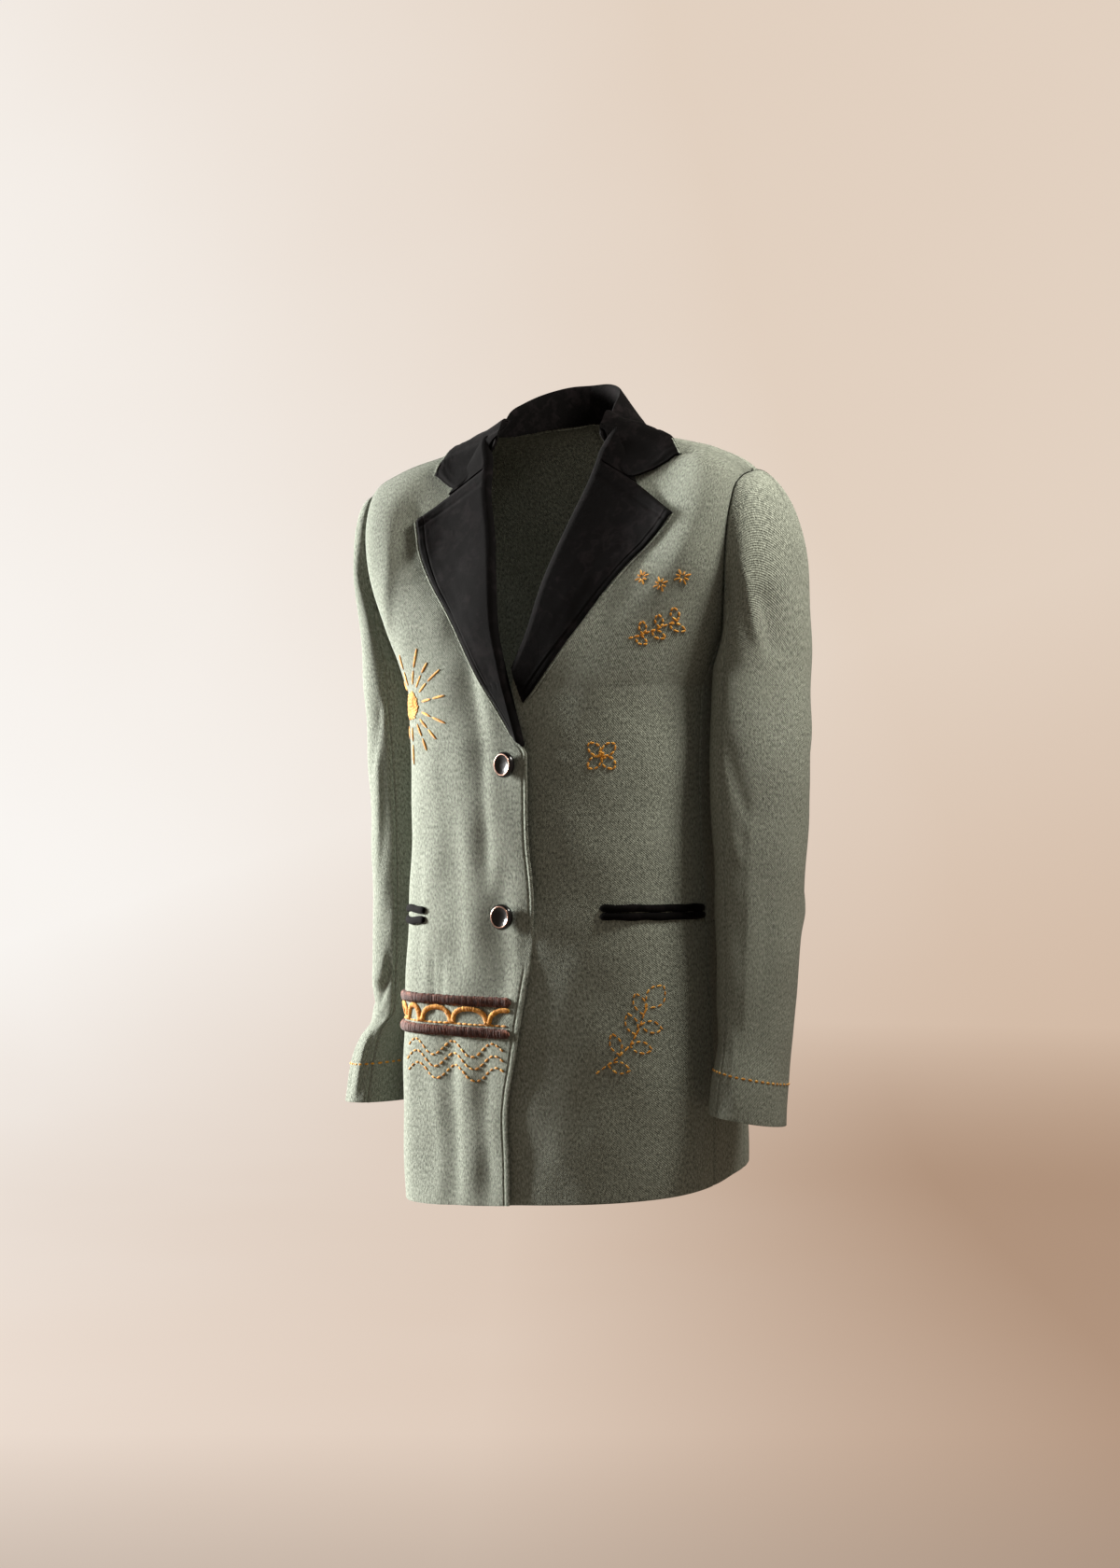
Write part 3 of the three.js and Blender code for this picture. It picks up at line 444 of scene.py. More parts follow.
def wool_paint(name, middle, pale, dark):
    paint = Paint(name, Roughness=0.95, Sheen_Weight=0.15, Sheen_Roughness=0.6, Specular_IOR_Level=0.1)
    paint.shader.inputs["Sheen Tint"].default_value = colour(225, 228, 215)
    cloth_map = paint.place("UV")
    solid = paint.place()
    fibres = paint.noise(paint.stretched(cloth_map, (1.0, 0.35, 1.0), 0.7), 900.0, 3.0, 0.7)
    flecks = paint.noise(paint.stretched(cloth_map, (1.0, 0.6, 1.0)), 480.0, 3.0, 0.7)
    clouds = paint.noise(solid, 38.0, 4.0, 0.6)
    broad = paint.noise(solid, 7.0, 2.0, 0.5)
    twill = ((paint.axis(cloth_map, "X") + paint.axis(cloth_map, "Y")) * TWILL_LINES).sine() * 0.5 + 0.5
    light = paint.spread(fibres * 0.45 + flecks * 0.55, 0.4, 0.6).clamp()
    base = paint.mix(light, dark, pale)
    base = paint.mix(0.2, base, middle)
    shade = (clouds * 0.5 + broad * 0.3 + twill * 0.12).clamp()
    base = paint.mix(paint.spread(shade, 0.3, 0.62).clamp() * 0.3, base, colour(138, 143, 131))
    paint.surface(Base_Color=base)
    paint.relief(fibres * 0.5 + flecks * 0.6 + twill * 0.2 + clouds * 0.4, 0.0019, 1.0)
    return paint.material

WOOL = wool_paint("wool", colour(108, 115, 105), colour(160, 166, 153), colour(58, 62, 55))
print("wool nodes", len(WOOL.node_tree.nodes))

# %% [markdown]
# The velvet is near black. Its pile stands up and swallows light, catches a little of it at a glance,
# and looks paler where it is crushed. Real hairs would be far too many, so a sheen stands for the pile,
# and noise that is bent by other noise gives the crushed patches their soft, wandering edges.

# %% Velvet
def velvet_paint():
    paint = Paint("velvet", Roughness=0.9, Sheen_Weight=0.05, Sheen_Roughness=0.35, Specular_IOR_Level=0.06)
    paint.shader.inputs["Sheen Tint"].default_value = colour(150, 148, 150)
    solid = paint.place()
    pile = paint.noise(solid, 1600.0, 2.0, 0.6)
    crush = paint.noise(paint.noise(solid, 26.0, 3.0, 0.6, output=1), 5.0, 3.0, 0.6)
    marks = paint.spread(crush, 0.5, 0.75).clamp()
    paint.surface(Base_Color=paint.mix(marks, colour(6, 5, 5), colour(24, 20, 21)))
    paint.relief(pile * 0.6 + crush * 0.6, 0.0006, 0.6)
    return paint.material

VELVET = velvet_paint()
print("velvet nodes", len(VELVET.node_tree.nodes))

# %% [markdown]
# Yarn is plied: its strands wind round it. Each strand could be modelled, but a stitch is only a
# millimetre wide, so a wave that runs along and round the stitch's own map bumps the strands instead
# and paints their shade and highlight into the colour, and noise makes some stitches paler than others,
# as on hand-dyed yarn.

# %% Yarns
def yarn_paint(name, deep, middle, bright, strands=2.0, windings=0.6):
    paint = Paint(name, Roughness=0.8, Sheen_Weight=0.3, Sheen_Roughness=0.5, Specular_IOR_Level=0.25)
    stitch_map = paint.place("UV")
    solid = paint.place()
    turns = paint.axis(stitch_map, "X") * strands + paint.axis(stitch_map, "Y") * windings
    twist = (turns * FULL_TURN).sine() * 0.5 + 0.5
    uneven = paint.noise(solid, 240.0, 3.0, 0.6)
    fibre = paint.noise(solid, 1500.0, 2.0, 0.7)
    # The twist wave paints shade between the strands and highlight on them into the colour; the noise is the
    # yarn's uneven dye.
    dye_and_strand_shade = paint.spread(twist * 0.2 + uneven * 0.8 + fibre * 0.3, 0.4, 0.85).clamp()
    base = paint.mix(dye_and_strand_shade.power(1.2), deep, middle)
    base = paint.mix(paint.spread(dye_and_strand_shade, 0.7, 1.0).clamp(), base, bright)
    paint.surface(Base_Color=base)
    paint.relief(twist * 0.6 + fibre * 0.5, 0.0005, 0.9)
    return paint.material

GOLD_YARN = yarn_paint("gold_yarn", colour(168, 104, 22), colour(228, 164, 54), colour(250, 208, 116))
BROWN_YARN = yarn_paint("brown_yarn", colour(50, 28, 23), colour(112, 68, 56), colour(172, 118, 98))
print("two yarns")

# %% [markdown]
# The buttons are black with a high gloss, and a copper-coloured ring is let into each rim. A perfectly
# even gloss looks like a drawing, so a fine noise varies the roughness, as polish and wear do.

# %% Button materials
def gloss_paint():
    paint = Paint("gloss_black", Specular_IOR_Level=0.3, Coat_Weight=0.35, Coat_Roughness=0.05)
    wear = paint.noise(paint.place(), 420.0, 3.0, 0.6)
    black = paint.mix(wear, colour(8, 7, 8), colour(18, 16, 17))
    paint.surface(Base_Color=black, Roughness=wear * 0.2 + 0.12)
    paint.relief(wear, 0.0002, 0.3)
    return paint.material

def metal_paint():
    paint = Paint("copper_ring", Metallic=1.0)
    wear = paint.noise(paint.place(), 700.0, 3.0, 0.6)
    copper = paint.mix(wear, colour(132, 98, 84), colour(196, 160, 144))
    paint.surface(Base_Color=copper, Roughness=wear * 0.3 + 0.16)
    paint.relief(wear, 0.0002, 0.3)
    return paint.material

GLOSS, COPPER = gloss_paint(), metal_paint()
print("button materials ready")

# %% [markdown]
# A cloth piece is a thin sheet with four edges. It could be draped by a simulation, but then its edges
# would drift from its neighbours' seams. Here a bmesh grid gets its points from a function, and its
# map real lengths in metres, so that the weave keeps its size. Solidify then gives the wall, and a
# small bevel rounds the rim. Rows and columns may be as uneven as the detail needs.

# %% Cloth from a grid
def piece_of(name, bm, material):
    """Ends a bmesh: smooth faces, one material, and the piece rides on the body."""
    for face in bm.faces:
        face.smooth = True
    mesh = bpy.data.meshes.new(name)
    bm.to_mesh(mesh)
    bm.free()
    mesh.materials.append(material)
    piece = bpy.data.objects.new(name, mesh)
    bpy.context.scene.collection.objects.link(piece)
    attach(piece, "root")
    return piece

def flat_grid(wide, high):
    """A bmesh grid of so many vertices each way, with the column and the row of each vertex."""
    bm = bmesh.new()
    bmesh.ops.create_grid(bm, x_segments=wide - 1, y_segments=high - 1, size=1)
    flat = np.array([vert.co[:2] for vert in bm.verts])
    col = np.rint((flat[:, 0] + 1) / 2 * (wide - 1)).astype(int)
    row = np.rint((flat[:, 1] + 1) / 2 * (high - 1)).astype(int)
    return bm, col, row

RIM, RIM_ANGLE = 0.5, 50

def grid_mesh(name, us, vs, place, material, wall=CLOTH, close=False):
    us, vs = np.asarray(us, float), np.asarray(vs, float)
    points = place(us[None, :], vs[:, None])
    bm, col, row = flat_grid(len(us), len(vs))
    step_u = np.linalg.norm(np.diff(points, axis=1), axis=2)
    step_v = np.linalg.norm(np.diff(points, axis=0), axis=2)
    span_u = np.concatenate([[0], np.cumsum(step_u.mean(axis=0))]) * MM
    span_v = np.concatenate([[0], np.cumsum(step_v.mean(axis=1))]) * MM
    layer = bm.loops.layers.uv.new("UVMap")
    for vert, i, j in zip(bm.verts, col.tolist(), row.tolist()):
        vert.co = points[j, i] * MM
        for loop in vert.link_loops:
            loop[layer].uv = (span_u[i], span_v[j])
    if close:
        bmesh.ops.remove_doubles(bm, verts=bm.verts, dist=1e-6)
        bmesh.ops.recalc_face_normals(bm, faces=bm.faces)
    piece = piece_of(name, bm, material)
    if wall:
        solid = piece.modifiers.new("wall", "SOLIDIFY")
        solid.thickness, solid.offset, solid.use_rim = wall * MM, -1, True
        edge = piece.modifiers.new("rim", "BEVEL")
        edge.width, edge.segments = RIM * MM, 2
        edge.limit_method, edge.angle_limit = "ANGLE", np.radians(RIM_ANGLE)
    return piece

def lifted(points, lift):
    """Moves a grid of points out along its own normals."""
    across, up = np.gradient(points, axis=1), np.gradient(points, axis=0)
    return points + unit(np.cross(across, up)) * np.asarray(lift)[..., None]

def declare(piece, replaces, flat):
    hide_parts(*replaces)

print("grid helper ready")

# %% [markdown]
# Worn wool never lies flat. A simulation could make the folds, but each run would put them elsewhere.
# So the main creases are placed one by one: each is a soft trough or ridge along a line, with its own
# bend, breadth and depth, and it fades at both ends. The hidden back has folds of the same kind.

# %% Creases
CREASE = "a0 b0 a1 b1 bend wide deep"
FRONT_CREASES = rows_of(CREASE,
    [-84, -118, -28, -316, 5, 13, -6.2], [-31, -300, -25, -440, 1, 10, -2.8],
    [-12, -410, -9, -560, 1, 19, -3.2], [-29, -545, -25, -738, 1, 10, -1.4],
    [-70, -540, -64, -740, 2, 11, -3.4], [-64, -360, -58, -520, 2, 13, -2.0],
    [-92, -300, -86, -440, 3, 14, 0.9], [-90, -490, -89, -560, 1, 5, -2.4],
    [-78, -492, -77, -552, 0, 5, -2.0], [-138, -66, -132, -136, 2, 10, -2.6],
    [-155, -84, -155, -215, 2, 9, 2.2], [-46, -590, -42, -735, 2, 10, 0.7],
    [-110, -400, -106, -540, -3, 10, -2.0], [-120, -570, -124, -735, -3, 14, 2.2],
    [-100, -600, -92, -736, 2, 10, -1.6], [92, -120, 86, -205, -2, 14, -1.6],
    [112, -250, 100, -400, 3, 22, -1.6], [60, -300, 66, -440, -2, 20, 1.0],
    [96, -470, 104, -700, 3, 22, -1.6], [70, -560, 74, -720, -2, 24, -0.8])
BACK_CREASES = rows_of(CREASE,
    [-150, -120, -108, -235, 6, 12, -4.0], [-128, -110, -86, -200, 5, 10, 2.0],
    [146, -130, 112, -250, -5, 13, -4.2], [120, -105, 92, -190, -4, 10, 2.2],
    [-60, -300, -96, -345, 4, 9, -2.8], [38, -318, 100, -352, -4, 9, -3.0],
    [-30, -338, -84, -372, 4, 10, 2.0], [20, -350, 76, -388, -3, 9, 1.8],
    [-100, -420, -112, -700, 5, 20, -4.2], [-40, -470, -46, -705, -4, 17, 3.0],
    [36, -450, 44, -700, 4, 18, -3.4], [96, -430, 110, -695, -5, 21, 3.4],
    [-70, -60, -64, -140, 2, 14, -2.0], [56, -70, 66, -150, 2, 13, -1.8])

def creases(table, a, b):
    """The height that a table of creases gives to points with two coordinates on the cloth."""
    height = np.zeros(np.broadcast(a, b).shape)
    for fold in table:
        run_a, run_b = fold["a1"] - fold["a0"], fold["b1"] - fold["b0"]
        length = np.hypot(run_a, run_b)
        t = ((a - fold["a0"]) * run_a + (b - fold["b0"]) * run_b) / length ** 2
        off = ((b - fold["b0"]) * run_a - (a - fold["a0"]) * run_b) / length
        off = off - fold["bend"] * 4 * t * (1 - t)
        fade = smooth(t, -0.08, 0.22) * (1 - smooth(t, 0.74, 1.08))
        skew = 1 + 0.35 * np.tanh(off / fold["wide"])
        height = height + fold["deep"] * hump(off * skew, fold["wide"]) * fade
    return height

RIPPLES = rows_of("turn pitch phase high", [12, 130, 0.4, 0.5], [74, 88, 2.1, 0.35], [128, 61, 4.0, 0.25],
    [38, 47, 1.2, 0.16], [160, 36, 5.2, 0.12])

def ripples(a, b):
    """A faint unevenness, so that no panel is as even as a drawing."""
    height = 0
    for wave in RIPPLES:
        across = a * cosine(wave["turn"]) + b * sine(wave["turn"])
        height = height + wave["high"] * np.sin(2 * np.pi * across / wave["pitch"] + wave["phase"])
    return height

print(len(FRONT_CREASES) + len(BACK_CREASES), "creases on the body")

# %% [markdown]
# A tailor cuts a front, a side panel and a back for each half, and sews them edge to edge. At a seam
# the cloth turns in, so an edge that sinks by a millimetre reads as sewn. Columns are close together
# near an edge that has a bead or a fold, and wider apart where the cloth is calm.

# %% Rows, columns and seams
def even(length, step):
    return np.linspace(0, 1, max(2, int(round(length / step)) + 1))

def near_edge(length, fine, step, reach):
    """Columns that are fine near the start of a panel and at its end, and even between."""
    first = np.arange(0, reach, fine)
    last = length - np.arange(0, 4, 1.0)[::-1]
    middle = np.linspace(reach, length - 4, int((length - reach - 4) / step) + 1)[:-1]
    return np.concatenate([first, middle, last]) / length

def breadth(points):
    """The length of each row of a grid of points."""
    return np.linalg.norm(np.diff(points, axis=1), axis=2).sum(axis=1, keepdims=True)

def from_top(points):
    """How far the points of a grid lie from the last row."""
    return np.linalg.norm(points - points[-1:], axis=2)

def sink(distance, deep=1.1, wide=2.6):
    return -deep * (1 - smooth(distance, 0, wide)) ** 1.5

PANEL_ROWS = stretches((0, 0.2, 6), (0.2, BUST_ROW, 138), (BUST_ROW, PIT_ROW, 13),
    (PIT_ROW, TOP_ROW - 1, 52), (TOP_ROW - 1, TOP_ROW, 9))
HANDS = (("right", -1), ("left", 1))
print(len(PANEL_ROWS), "rows to a panel")

# %% [markdown]
# The fronts carry the most: the overlap, the deep fold from the right shoulder to the buttons, and
# the button edge. The edge could be a separate cord, but it is the same cloth turned over, so it is
# raised in the front's own surface: a rolled bead beside the buttons, and a sunk line below them.

# %% Fronts
def button_edge(inner, z):
    beside = smooth(z, -476, -468) * (1 - smooth(z, -312, -300))
    below = 1 - smooth(z, -514, -500)
    bead = 0.9 * hump(inner - 2.4, 1.9) - 0.9 * hump(inner - 5.6, 0.9)
    return beside * bead + below * (0.3 * hump(inner - 3.4, 2.2) - 0.75 * hump(inner - 6.6, 0.9))

def front(side, hand):
    shares = near_edge(190, 0.9, 3.2, 14)
    def place(u, row):
        share = u if side > 0 else 1 - u
        edge = front_edge(side, row_level(row, 0.0))
        angle = lerp(edge, arm_edge(side, row, False), share)
        level = row_level(row, angle)
        bare = body(angle, level)
        x, z = bare[..., 0], bare[..., 2]
        wide = breadth(bare)
        inner, outer = share * wide, (1 - share) * wide
        folds = creases(FRONT_CREASES, x, z) + ripples(x, z)
        lift = lap(side, x, z) + folds * smooth(outer, 2, 16) * smooth(inner, 4, 30) + sink(outer, 0.8)
        lift = lift + sink(from_top(bare)) * (z > -60)
        if side < 0:
            lift = lift + button_edge(inner, z)
        return lifted(bare, lift)
    us = shares if side > 0 else 1 - shares[::-1]
    return grid_mesh("cloth_front_" + hand, us, PANEL_ROWS, place, WOOL)

for hand, side in HANDS:
    panel = front(side, hand)
    declare(panel, ["front_" + hand], (0.21, 0.75))
print("two fronts")

# %% [markdown]
# A side panel fills the gap under the arm, from seam to seam, and its top is the bottom of the
# armhole loop. It could be part of the front, but the real one is cut apart, to shape the waist.

# %% Side panels
SIDE_TOP = 14
SIDE_CREASES = rows_of(CREASE, [60, -250, 78, -420, 3, 14, -2.2], [50, -480, 66, -700, 3, 15, 2.4])

def side_panel(side, hand):
    rows = PANEL_ROWS[PANEL_ROWS <= SIDE_TOP]
    full = float(row_level(SIDE_TOP, 0.0))
    def place(u, row):
        share = u if side > 0 else 1 - u
        angle, top = turned(side, lerp(SIDE_TURN, 360 - SIDE_TURN, share))
        level = row_level(row, angle)
        level = np.where(level > 0, level * top / full, level)
        bare = body(angle, level)
        rim = np.minimum(u, 1 - u) * breadth(bare)
        lift = ripples(bare[..., 1] * 1.2 + 300, bare[..., 2]) * smooth(rim, 2, 16)
        lift = lift + creases(SIDE_CREASES, bare[..., 1], bare[..., 2]) * smooth(rim, 2, 14)
        lift = lift + sink(rim) + sink((SIDE_TOP - row) * 8.0 + 0 * u)
        return lifted(bare, lift)
    return grid_mesh("cloth_side_" + hand, even(90, 3.0), rows, place, WOOL)

for hand, side in HANDS:
    panel = side_panel(side, hand)
    declare(panel, ["side_" + hand], (0.065, 0.52))
print("two side panels")

# %% [markdown]
# Two backs meet at the centre seam. Their columns run straight up to the armpit and then fan out to
# the neck and the shoulder seam. A flat cut-out would need its neck trimmed with a boolean. Here the
# top row bends itself round the neck, so the edge stays clean.

# %% Backs
BACK_NECK, BACK_ARM = 3, 10

def neck_depth(x):
    return NECK_BACK * np.sqrt(np.maximum(0, 1 - (np.abs(x) / NECK_HALF) ** 2.4))

def back_top(column):
    """Angle and level of a back's top edge: the hollow of the neck, then the shoulder seam."""
    out = (column - BACK_NECK) / (BACK_ARM - BACK_NECK)
    x = np.where(column <= BACK_NECK, NECK_HALF * column / BACK_NECK, lerp(NECK_HALF, SHOULDER_HALF, out))
    level = np.full(column.shape, 0.97)
    for _ in range(8):
        angle = angle_at_x(x, level, True)
        level = solve(0.5, 1, lambda rise: -body(angle, rise)[..., 1], -neck_depth(x))
    on_neck = column < BACK_NECK
    return np.where(on_neck, angle, angle_at_x(x, 1.0, True)), np.where(on_neck, level, 1.0)

def back(side, hand):
    us = np.unique(np.concatenate([even(200, 3.2), [0.005, 0.01, 0.015, 0.985, 0.99, 0.995]]))
    def place(u, row):
        column = BACK_ARM * (1 - u if side > 0 else u)
        at_arm = column > BACK_ARM - 0.001
        top_angle, top_level = back_top(column)
        straight = lerp(180, np.abs(arm_edge(side, row, True)), column / BACK_ARM)
        climb = np.maximum(0, row - PIT_ROW) / (TOP_ROW - PIT_ROW)
        angle = side * lerp(straight, np.where(at_arm, straight, top_angle), climb ** 1.5)
        level = row_level(row, angle)
        scaled = PIT_RISE + (level - PIT_RISE) * (top_level - PIT_RISE) / (1 - PIT_RISE)
        bare = body(angle, np.where(level > PIT_RISE, scaled, level))
        x, z = bare[..., 0], bare[..., 2]
        rim = np.minimum(u, 1 - u) * breadth(bare)
        lift = (creases(BACK_CREASES, x, z) + ripples(x + 500, z)) * smooth(rim, 2, 16)
        lift = lift + sink(rim) + sink(from_top(bare)) * (z > -90)
        return lifted(bare, lift)
    return grid_mesh("cloth_back_" + hand, us, PANEL_ROWS, place, WOOL)

for hand, side in HANDS:
    declare(back(side, hand), ["back_" + hand], (0.20, 0.76))
print("two backs")

# %% [markdown]
# A sleeve has two pieces, a wide upper and a narrow under sleeve. A plain tube would meet the
# shoulder in a hard line. Here each piece starts on the armhole loop, leaves it outward, swells over
# the shoulder as a padded cap does, and runs down through the rings of a table to the cuff.

# %% Sleeves
RINGS = {
    "left": columns("drop x y halfX halfY tip", [238, 197, 34, 41, 58, 0], [321, 200, 25, 43, 58, 0],
        [423, 202, 20, 38, 53, 0], [500, 203, 13, 35, 48, 0.05], [556, 203.5, 7, 31.5, 45, 0.2],
        [582, 203.5, 3, 30, 44, 0.25], [608, 203.5, -4, 31.5, 45, 0.2], [641, 203.5, -10, 32, 46, 0.18]),
    "right": columns("drop x y halfX halfY tip", [238, 193, 38, 35.5, 58, 0], [345, 191, 47, 37, 56, 0],
        [447, 191, 48, 35, 52, 0], [520, 191, 43, 33, 49, 0.15], [553, 191.5, 38, 31, 46, 0.42],
        [569, 201, 30, 30, 43, 0.42], [600, 206, 24, 31, 44, 0.12], [645, 208.5, 16, 32, 44, 0.03]),
}
CROWN = {"left": 67, "right": 44}

def bow(start, leave, end, arrive, t):
    """A smooth bow between two points, with the way it leaves and the way it arrives."""
    from_start = start * (1 + 2 * t) * (1 - t) ** 2 + leave * t * (1 - t) ** 2
    return from_start + end * t * t * (3 - 2 * t) + arrive * t * t * (t - 1)

def sleeve_ring(side, rings, drop, turn):
    out = along(rings, "drop", drop, "halfX") * cosine(turn)
    fore = along(rings, "drop", drop, "halfY") * sine(turn)
    tip = along(rings, "drop", drop, "tip") * (side * fore * 0.5 - out * 0.87)
    x, y = along(rings, "drop", drop, "x"), along(rings, "drop", drop, "y")
    return stack(side * (x + out), y - fore, tip - drop)

def sleeve_at(hand, side, turn, fall):
    """fall: 0 at the armhole, 1 at the first free ring, then one for each ring of the table."""
    rings = RINGS[hand]
    turn, fall = np.broadcast_arrays(np.asarray(turn, float), np.asarray(fall, float))
    count = len(rings["drop"])
    drop = np.interp(np.clip(fall - 1, 0, count - 1), np.arange(count), rings["drop"])
    c, s = cosine(turn), sine(turn)
    angle, level = turned(side, turn)
    start = body(angle, level) + 0.5 * unit(stack(side, -0.3 * s, 0))
    end = sleeve_ring(side, rings, rings["drop"][0], turn)
    leave = stack(side * (6 + CROWN[hand] * (1 + c)), -34 * s, 14 * c - 8 - 12 * s * s)
    arrive = stack(0, 0, -(105 + 85 * c))
    t = np.clip(fall, 0, 1)[..., None]
    cap = bow(start, leave, end, arrive, t)
    return np.where(fall[..., None] >= 1, sleeve_ring(side, rings, drop, turn), cap)

print("sleeves run down to", [-int(rings["drop"][-1]) for rings in RINGS.values()])

# %% [markdown]
# An arm bends the cloth at the elbow and above the cuff. A crease of a sleeve is placed by its turn
# from the crown in degrees, forward positive, and its height. Then the pieces are made, and the
# imported solids that they replace are hidden.

# %% Sleeve creases and pieces
LEFT_SLEEVE_CREASES = rows_of(CREASE,
    [78, -138, 60, -218, 2, 6, 2.8], [52, -165, 44, -228, 0, 9, -2.8], [66, -330, 72, -600, 3, 5, 1.6],
    [48, -420, 52, -590, -3, 10, -1.8], [88, -560, 70, -636, 3, 7, 2.2],
    [100, -300, 60, -380, 4, 9, -2.2], [110, -340, 74, -420, 4, 8, 1.8],
    [-60, -260, -20, -330, 5, 9, -2.6], [-80, -330, -40, -400, 5, 9, -2.8],
    [-70, -420, -30, -470, 4, 8, 2.0], [-100, -150, -84, -260, 3, 9, -2.4])
RIGHT_SLEEVE_CREASES = rows_of(CREASE,
    [84, -300, 70, -430, 3, 8, 2.0], [100, -250, 60, -330, 4, 9, -2.0], [110, -500, 70, -556, 3, 7, -3.2],
    [70, -556, 20, -540, 3, 7, -2.4], [96, -520, 60, -530, 2, 9, 2.6], [88, -575, 84, -645, 2, 6, 1.8],
    [60, -575, 62, -645, 1, 8, -2.2], [-60, -270, -20, -340, 5, 9, -2.6],
    [-84, -340, -36, -400, 5, 9, -2.8], [-76, -430, -30, -480, 4, 8, 2.2],
    [-60, -560, 10, -572, 3, 7, -2.6], [-100, -150, -84, -260, 3, 9, -2.4])
SLEEVE_CREASES = {"left": LEFT_SLEEVE_CREASES, "right": RIGHT_SLEEVE_CREASES}

def sleeve_folds(hand, turn, z):
    around = np.where(turn > 180, turn - 360, turn)
    return creases(SLEEVE_CREASES[hand], around, z) + ripples(around + 90, z)

def sleeve(hand, side, name, start, end):
    drops = RINGS[hand]["drop"]
    free = 1 + np.interp(np.arange(drops[-1], drops[0], -3.2), drops, np.arange(len(drops)))
    falls = np.concatenate([free, np.linspace(1, 0.03, 56), [0.02, 0.01, 0]])
    def place(u, fall):
        turn = lerp(start, end, 1 - u if side > 0 else u)
        bare = sleeve_at(hand, side, turn, fall)
        rim = np.minimum(u, 1 - u) * breadth(bare)
        cap = from_top(bare)
        folds = sleeve_folds(hand, turn, bare[..., 2])
        lift = folds * smooth(rim, 1, 12) * smooth(cap, 3, 24) + sink(rim) + sink(cap, 0.8, 3.2)
        return lifted(bare, lift)
    count = max(24, int(abs(end - start) * 0.85 / 3.1))
    us = np.unique(np.concatenate([np.linspace(0, 1, count), [0.006, 0.012, 0.988, 0.994]]))
    return grid_mesh(name, us, falls, place, WOOL)

for hand, side in HANDS:
    upper = sleeve(hand, side, "cloth_top_sleeve_" + hand, -SLEEVE_TURN, SLEEVE_TURN)
    under = sleeve(hand, side, "cloth_under_sleeve_" + hand, SLEEVE_TURN, 360 - SLEEVE_TURN)
    declare(upper, ["top_sleeve_" + hand], (0.20, 0.57))
    declare(under, ["under_sleeve_" + hand], (0.13, 0.46))
print("four sleeve pieces")

# %% [markdown]
# The lapels are velvet facings that turn back over the front edge. The cloth could be folded with an
# armature, but the roll is only a short hook in section, so the hook is written into the first
# columns, and the flat part follows the front a few millimetres above it. A stitched line runs inside
# the free edges. A short strip of the same velvet closes the gorge seam, where lapel meets collar.

# %% Lapels
LAPELS = {
    "right": columns("roll x z", [-304, -10, -299], [-282, 8, -273], [-243, 40, -228], [-198, 73, -182],
        [-150, 103, -146], [-100, 119, -121], [-64, 126, -102], [GORGE_Z, 131, -87]),
    "left": columns("roll x z", [-231, 16, -265], [-222, 34, -243], [-205, 58, -209], [-182, 77, -182],
        [-146, 103, -146], [-100, 125, -124], [-64, 139, -108], [GORGE_Z, 148, -95]),
}
# The section of the roll, which takes the first share of the columns and ends so far out and up.
ROLL_OUT, ROLL_LIFT, ROLL_SHARE = 7, 6.4, 0.14
ROLL = columns("out lift", [1.4, -2.4], [0.2, 0], [0.3, 2.6], [2.4, 5.0], [ROLL_OUT, ROLL_LIFT])
VELVET_WALL, STITCH_IN, LAPEL_HEIGHT, FREE_LIFT = 2.4, 6.0, 70, 3.9

def stitched(distance, line):
    """The section of a free edge: rounded, with a sunk row of stitches and a faint ridge inside it."""
    edge = -1.3 * (1 - smooth(distance, 0, 2.4)) ** 2
    return edge - 0.45 * hump(distance - line, 0.7) + 0.2 * hump(distance - line - 1.7, 1.1)

def lapel(name, side, table, stitches=1):
    def place(u, v):
        column = u if side > 0 else 1 - u
        roll_z = along(table, "step", v, "roll")
        at_neck = lerp(GORGE_X, 66, smooth(roll_z, GORGE_Z, -8))
        roll_x = np.where(roll_z > GORGE_Z, at_neck, -along(EDGE, "z", roll_z, "past"))
        run_x = along(table, "step", v, "x") - roll_x
        run_z = along(table, "step", v, "z") - roll_z
        length = np.hypot(run_x, run_z)
        hook = np.clip(column / ROLL_SHARE, 0, 1)
        flat = np.clip((column - ROLL_SHARE) / (1 - ROLL_SHARE), 0, 1)
        hooked = column < ROLL_SHARE
        distance = np.where(hooked, along(ROLL, "step", hook, "out"), lerp(ROLL_OUT, length, flat))
        lift = np.where(hooked, along(ROLL, "step", hook, "lift"), lerp(ROLL_LIFT, FREE_LIFT, flat))
        outer = np.where(distance > 8, length - distance, 40)
        top = (1 - v) * LAPEL_HEIGHT * np.ones_like(distance)
        marks = stitched(outer, 7.0 if side < 0 else STITCH_IN) + stitched(top, STITCH_IN) * (flat > 0)
        lift = lift + stitches * marks * smooth(length, 8, 20)
        lift = lift + ripples(distance * 3, roll_z * 2) * 0.5 * flat
        x, z = roll_x + run_x * distance / length, roll_z + run_z * distance / length
        return on_front(side, side * x, z, lift)
    shares = stretches((0, ROLL_SHARE, 14), (ROLL_SHARE, 0.9, 34), (0.9, 1, 14))
    us = shares if side > 0 else 1 - shares[::-1]
    vs = stretches((0, 0.93, 100), (0.93, 1, 14))
    return grid_mesh("velvet_" + name, us, vs, place, VELVET, VELVET_WALL)

GORGE = columns("roll x z", [GORGE_Z - 1, 101, -64], [GORGE_Z + 4, 96, -56], [GORGE_Z + 16, 88, -44],
    [GORGE_Z + 28, 82, -30])
LAPEL_FLAT = {"right": (0.09, 0.28), "left": (0.09, 0.22)}
for hand, side in HANDS:
    facing = lapel("lapel_" + hand, side, LAPELS[hand])
    gorge = lapel("gorge_" + hand, side, GORGE, 0)
    declare(facing, ["lapel_" + hand], LAPEL_FLAT[hand])
print("two lapels")

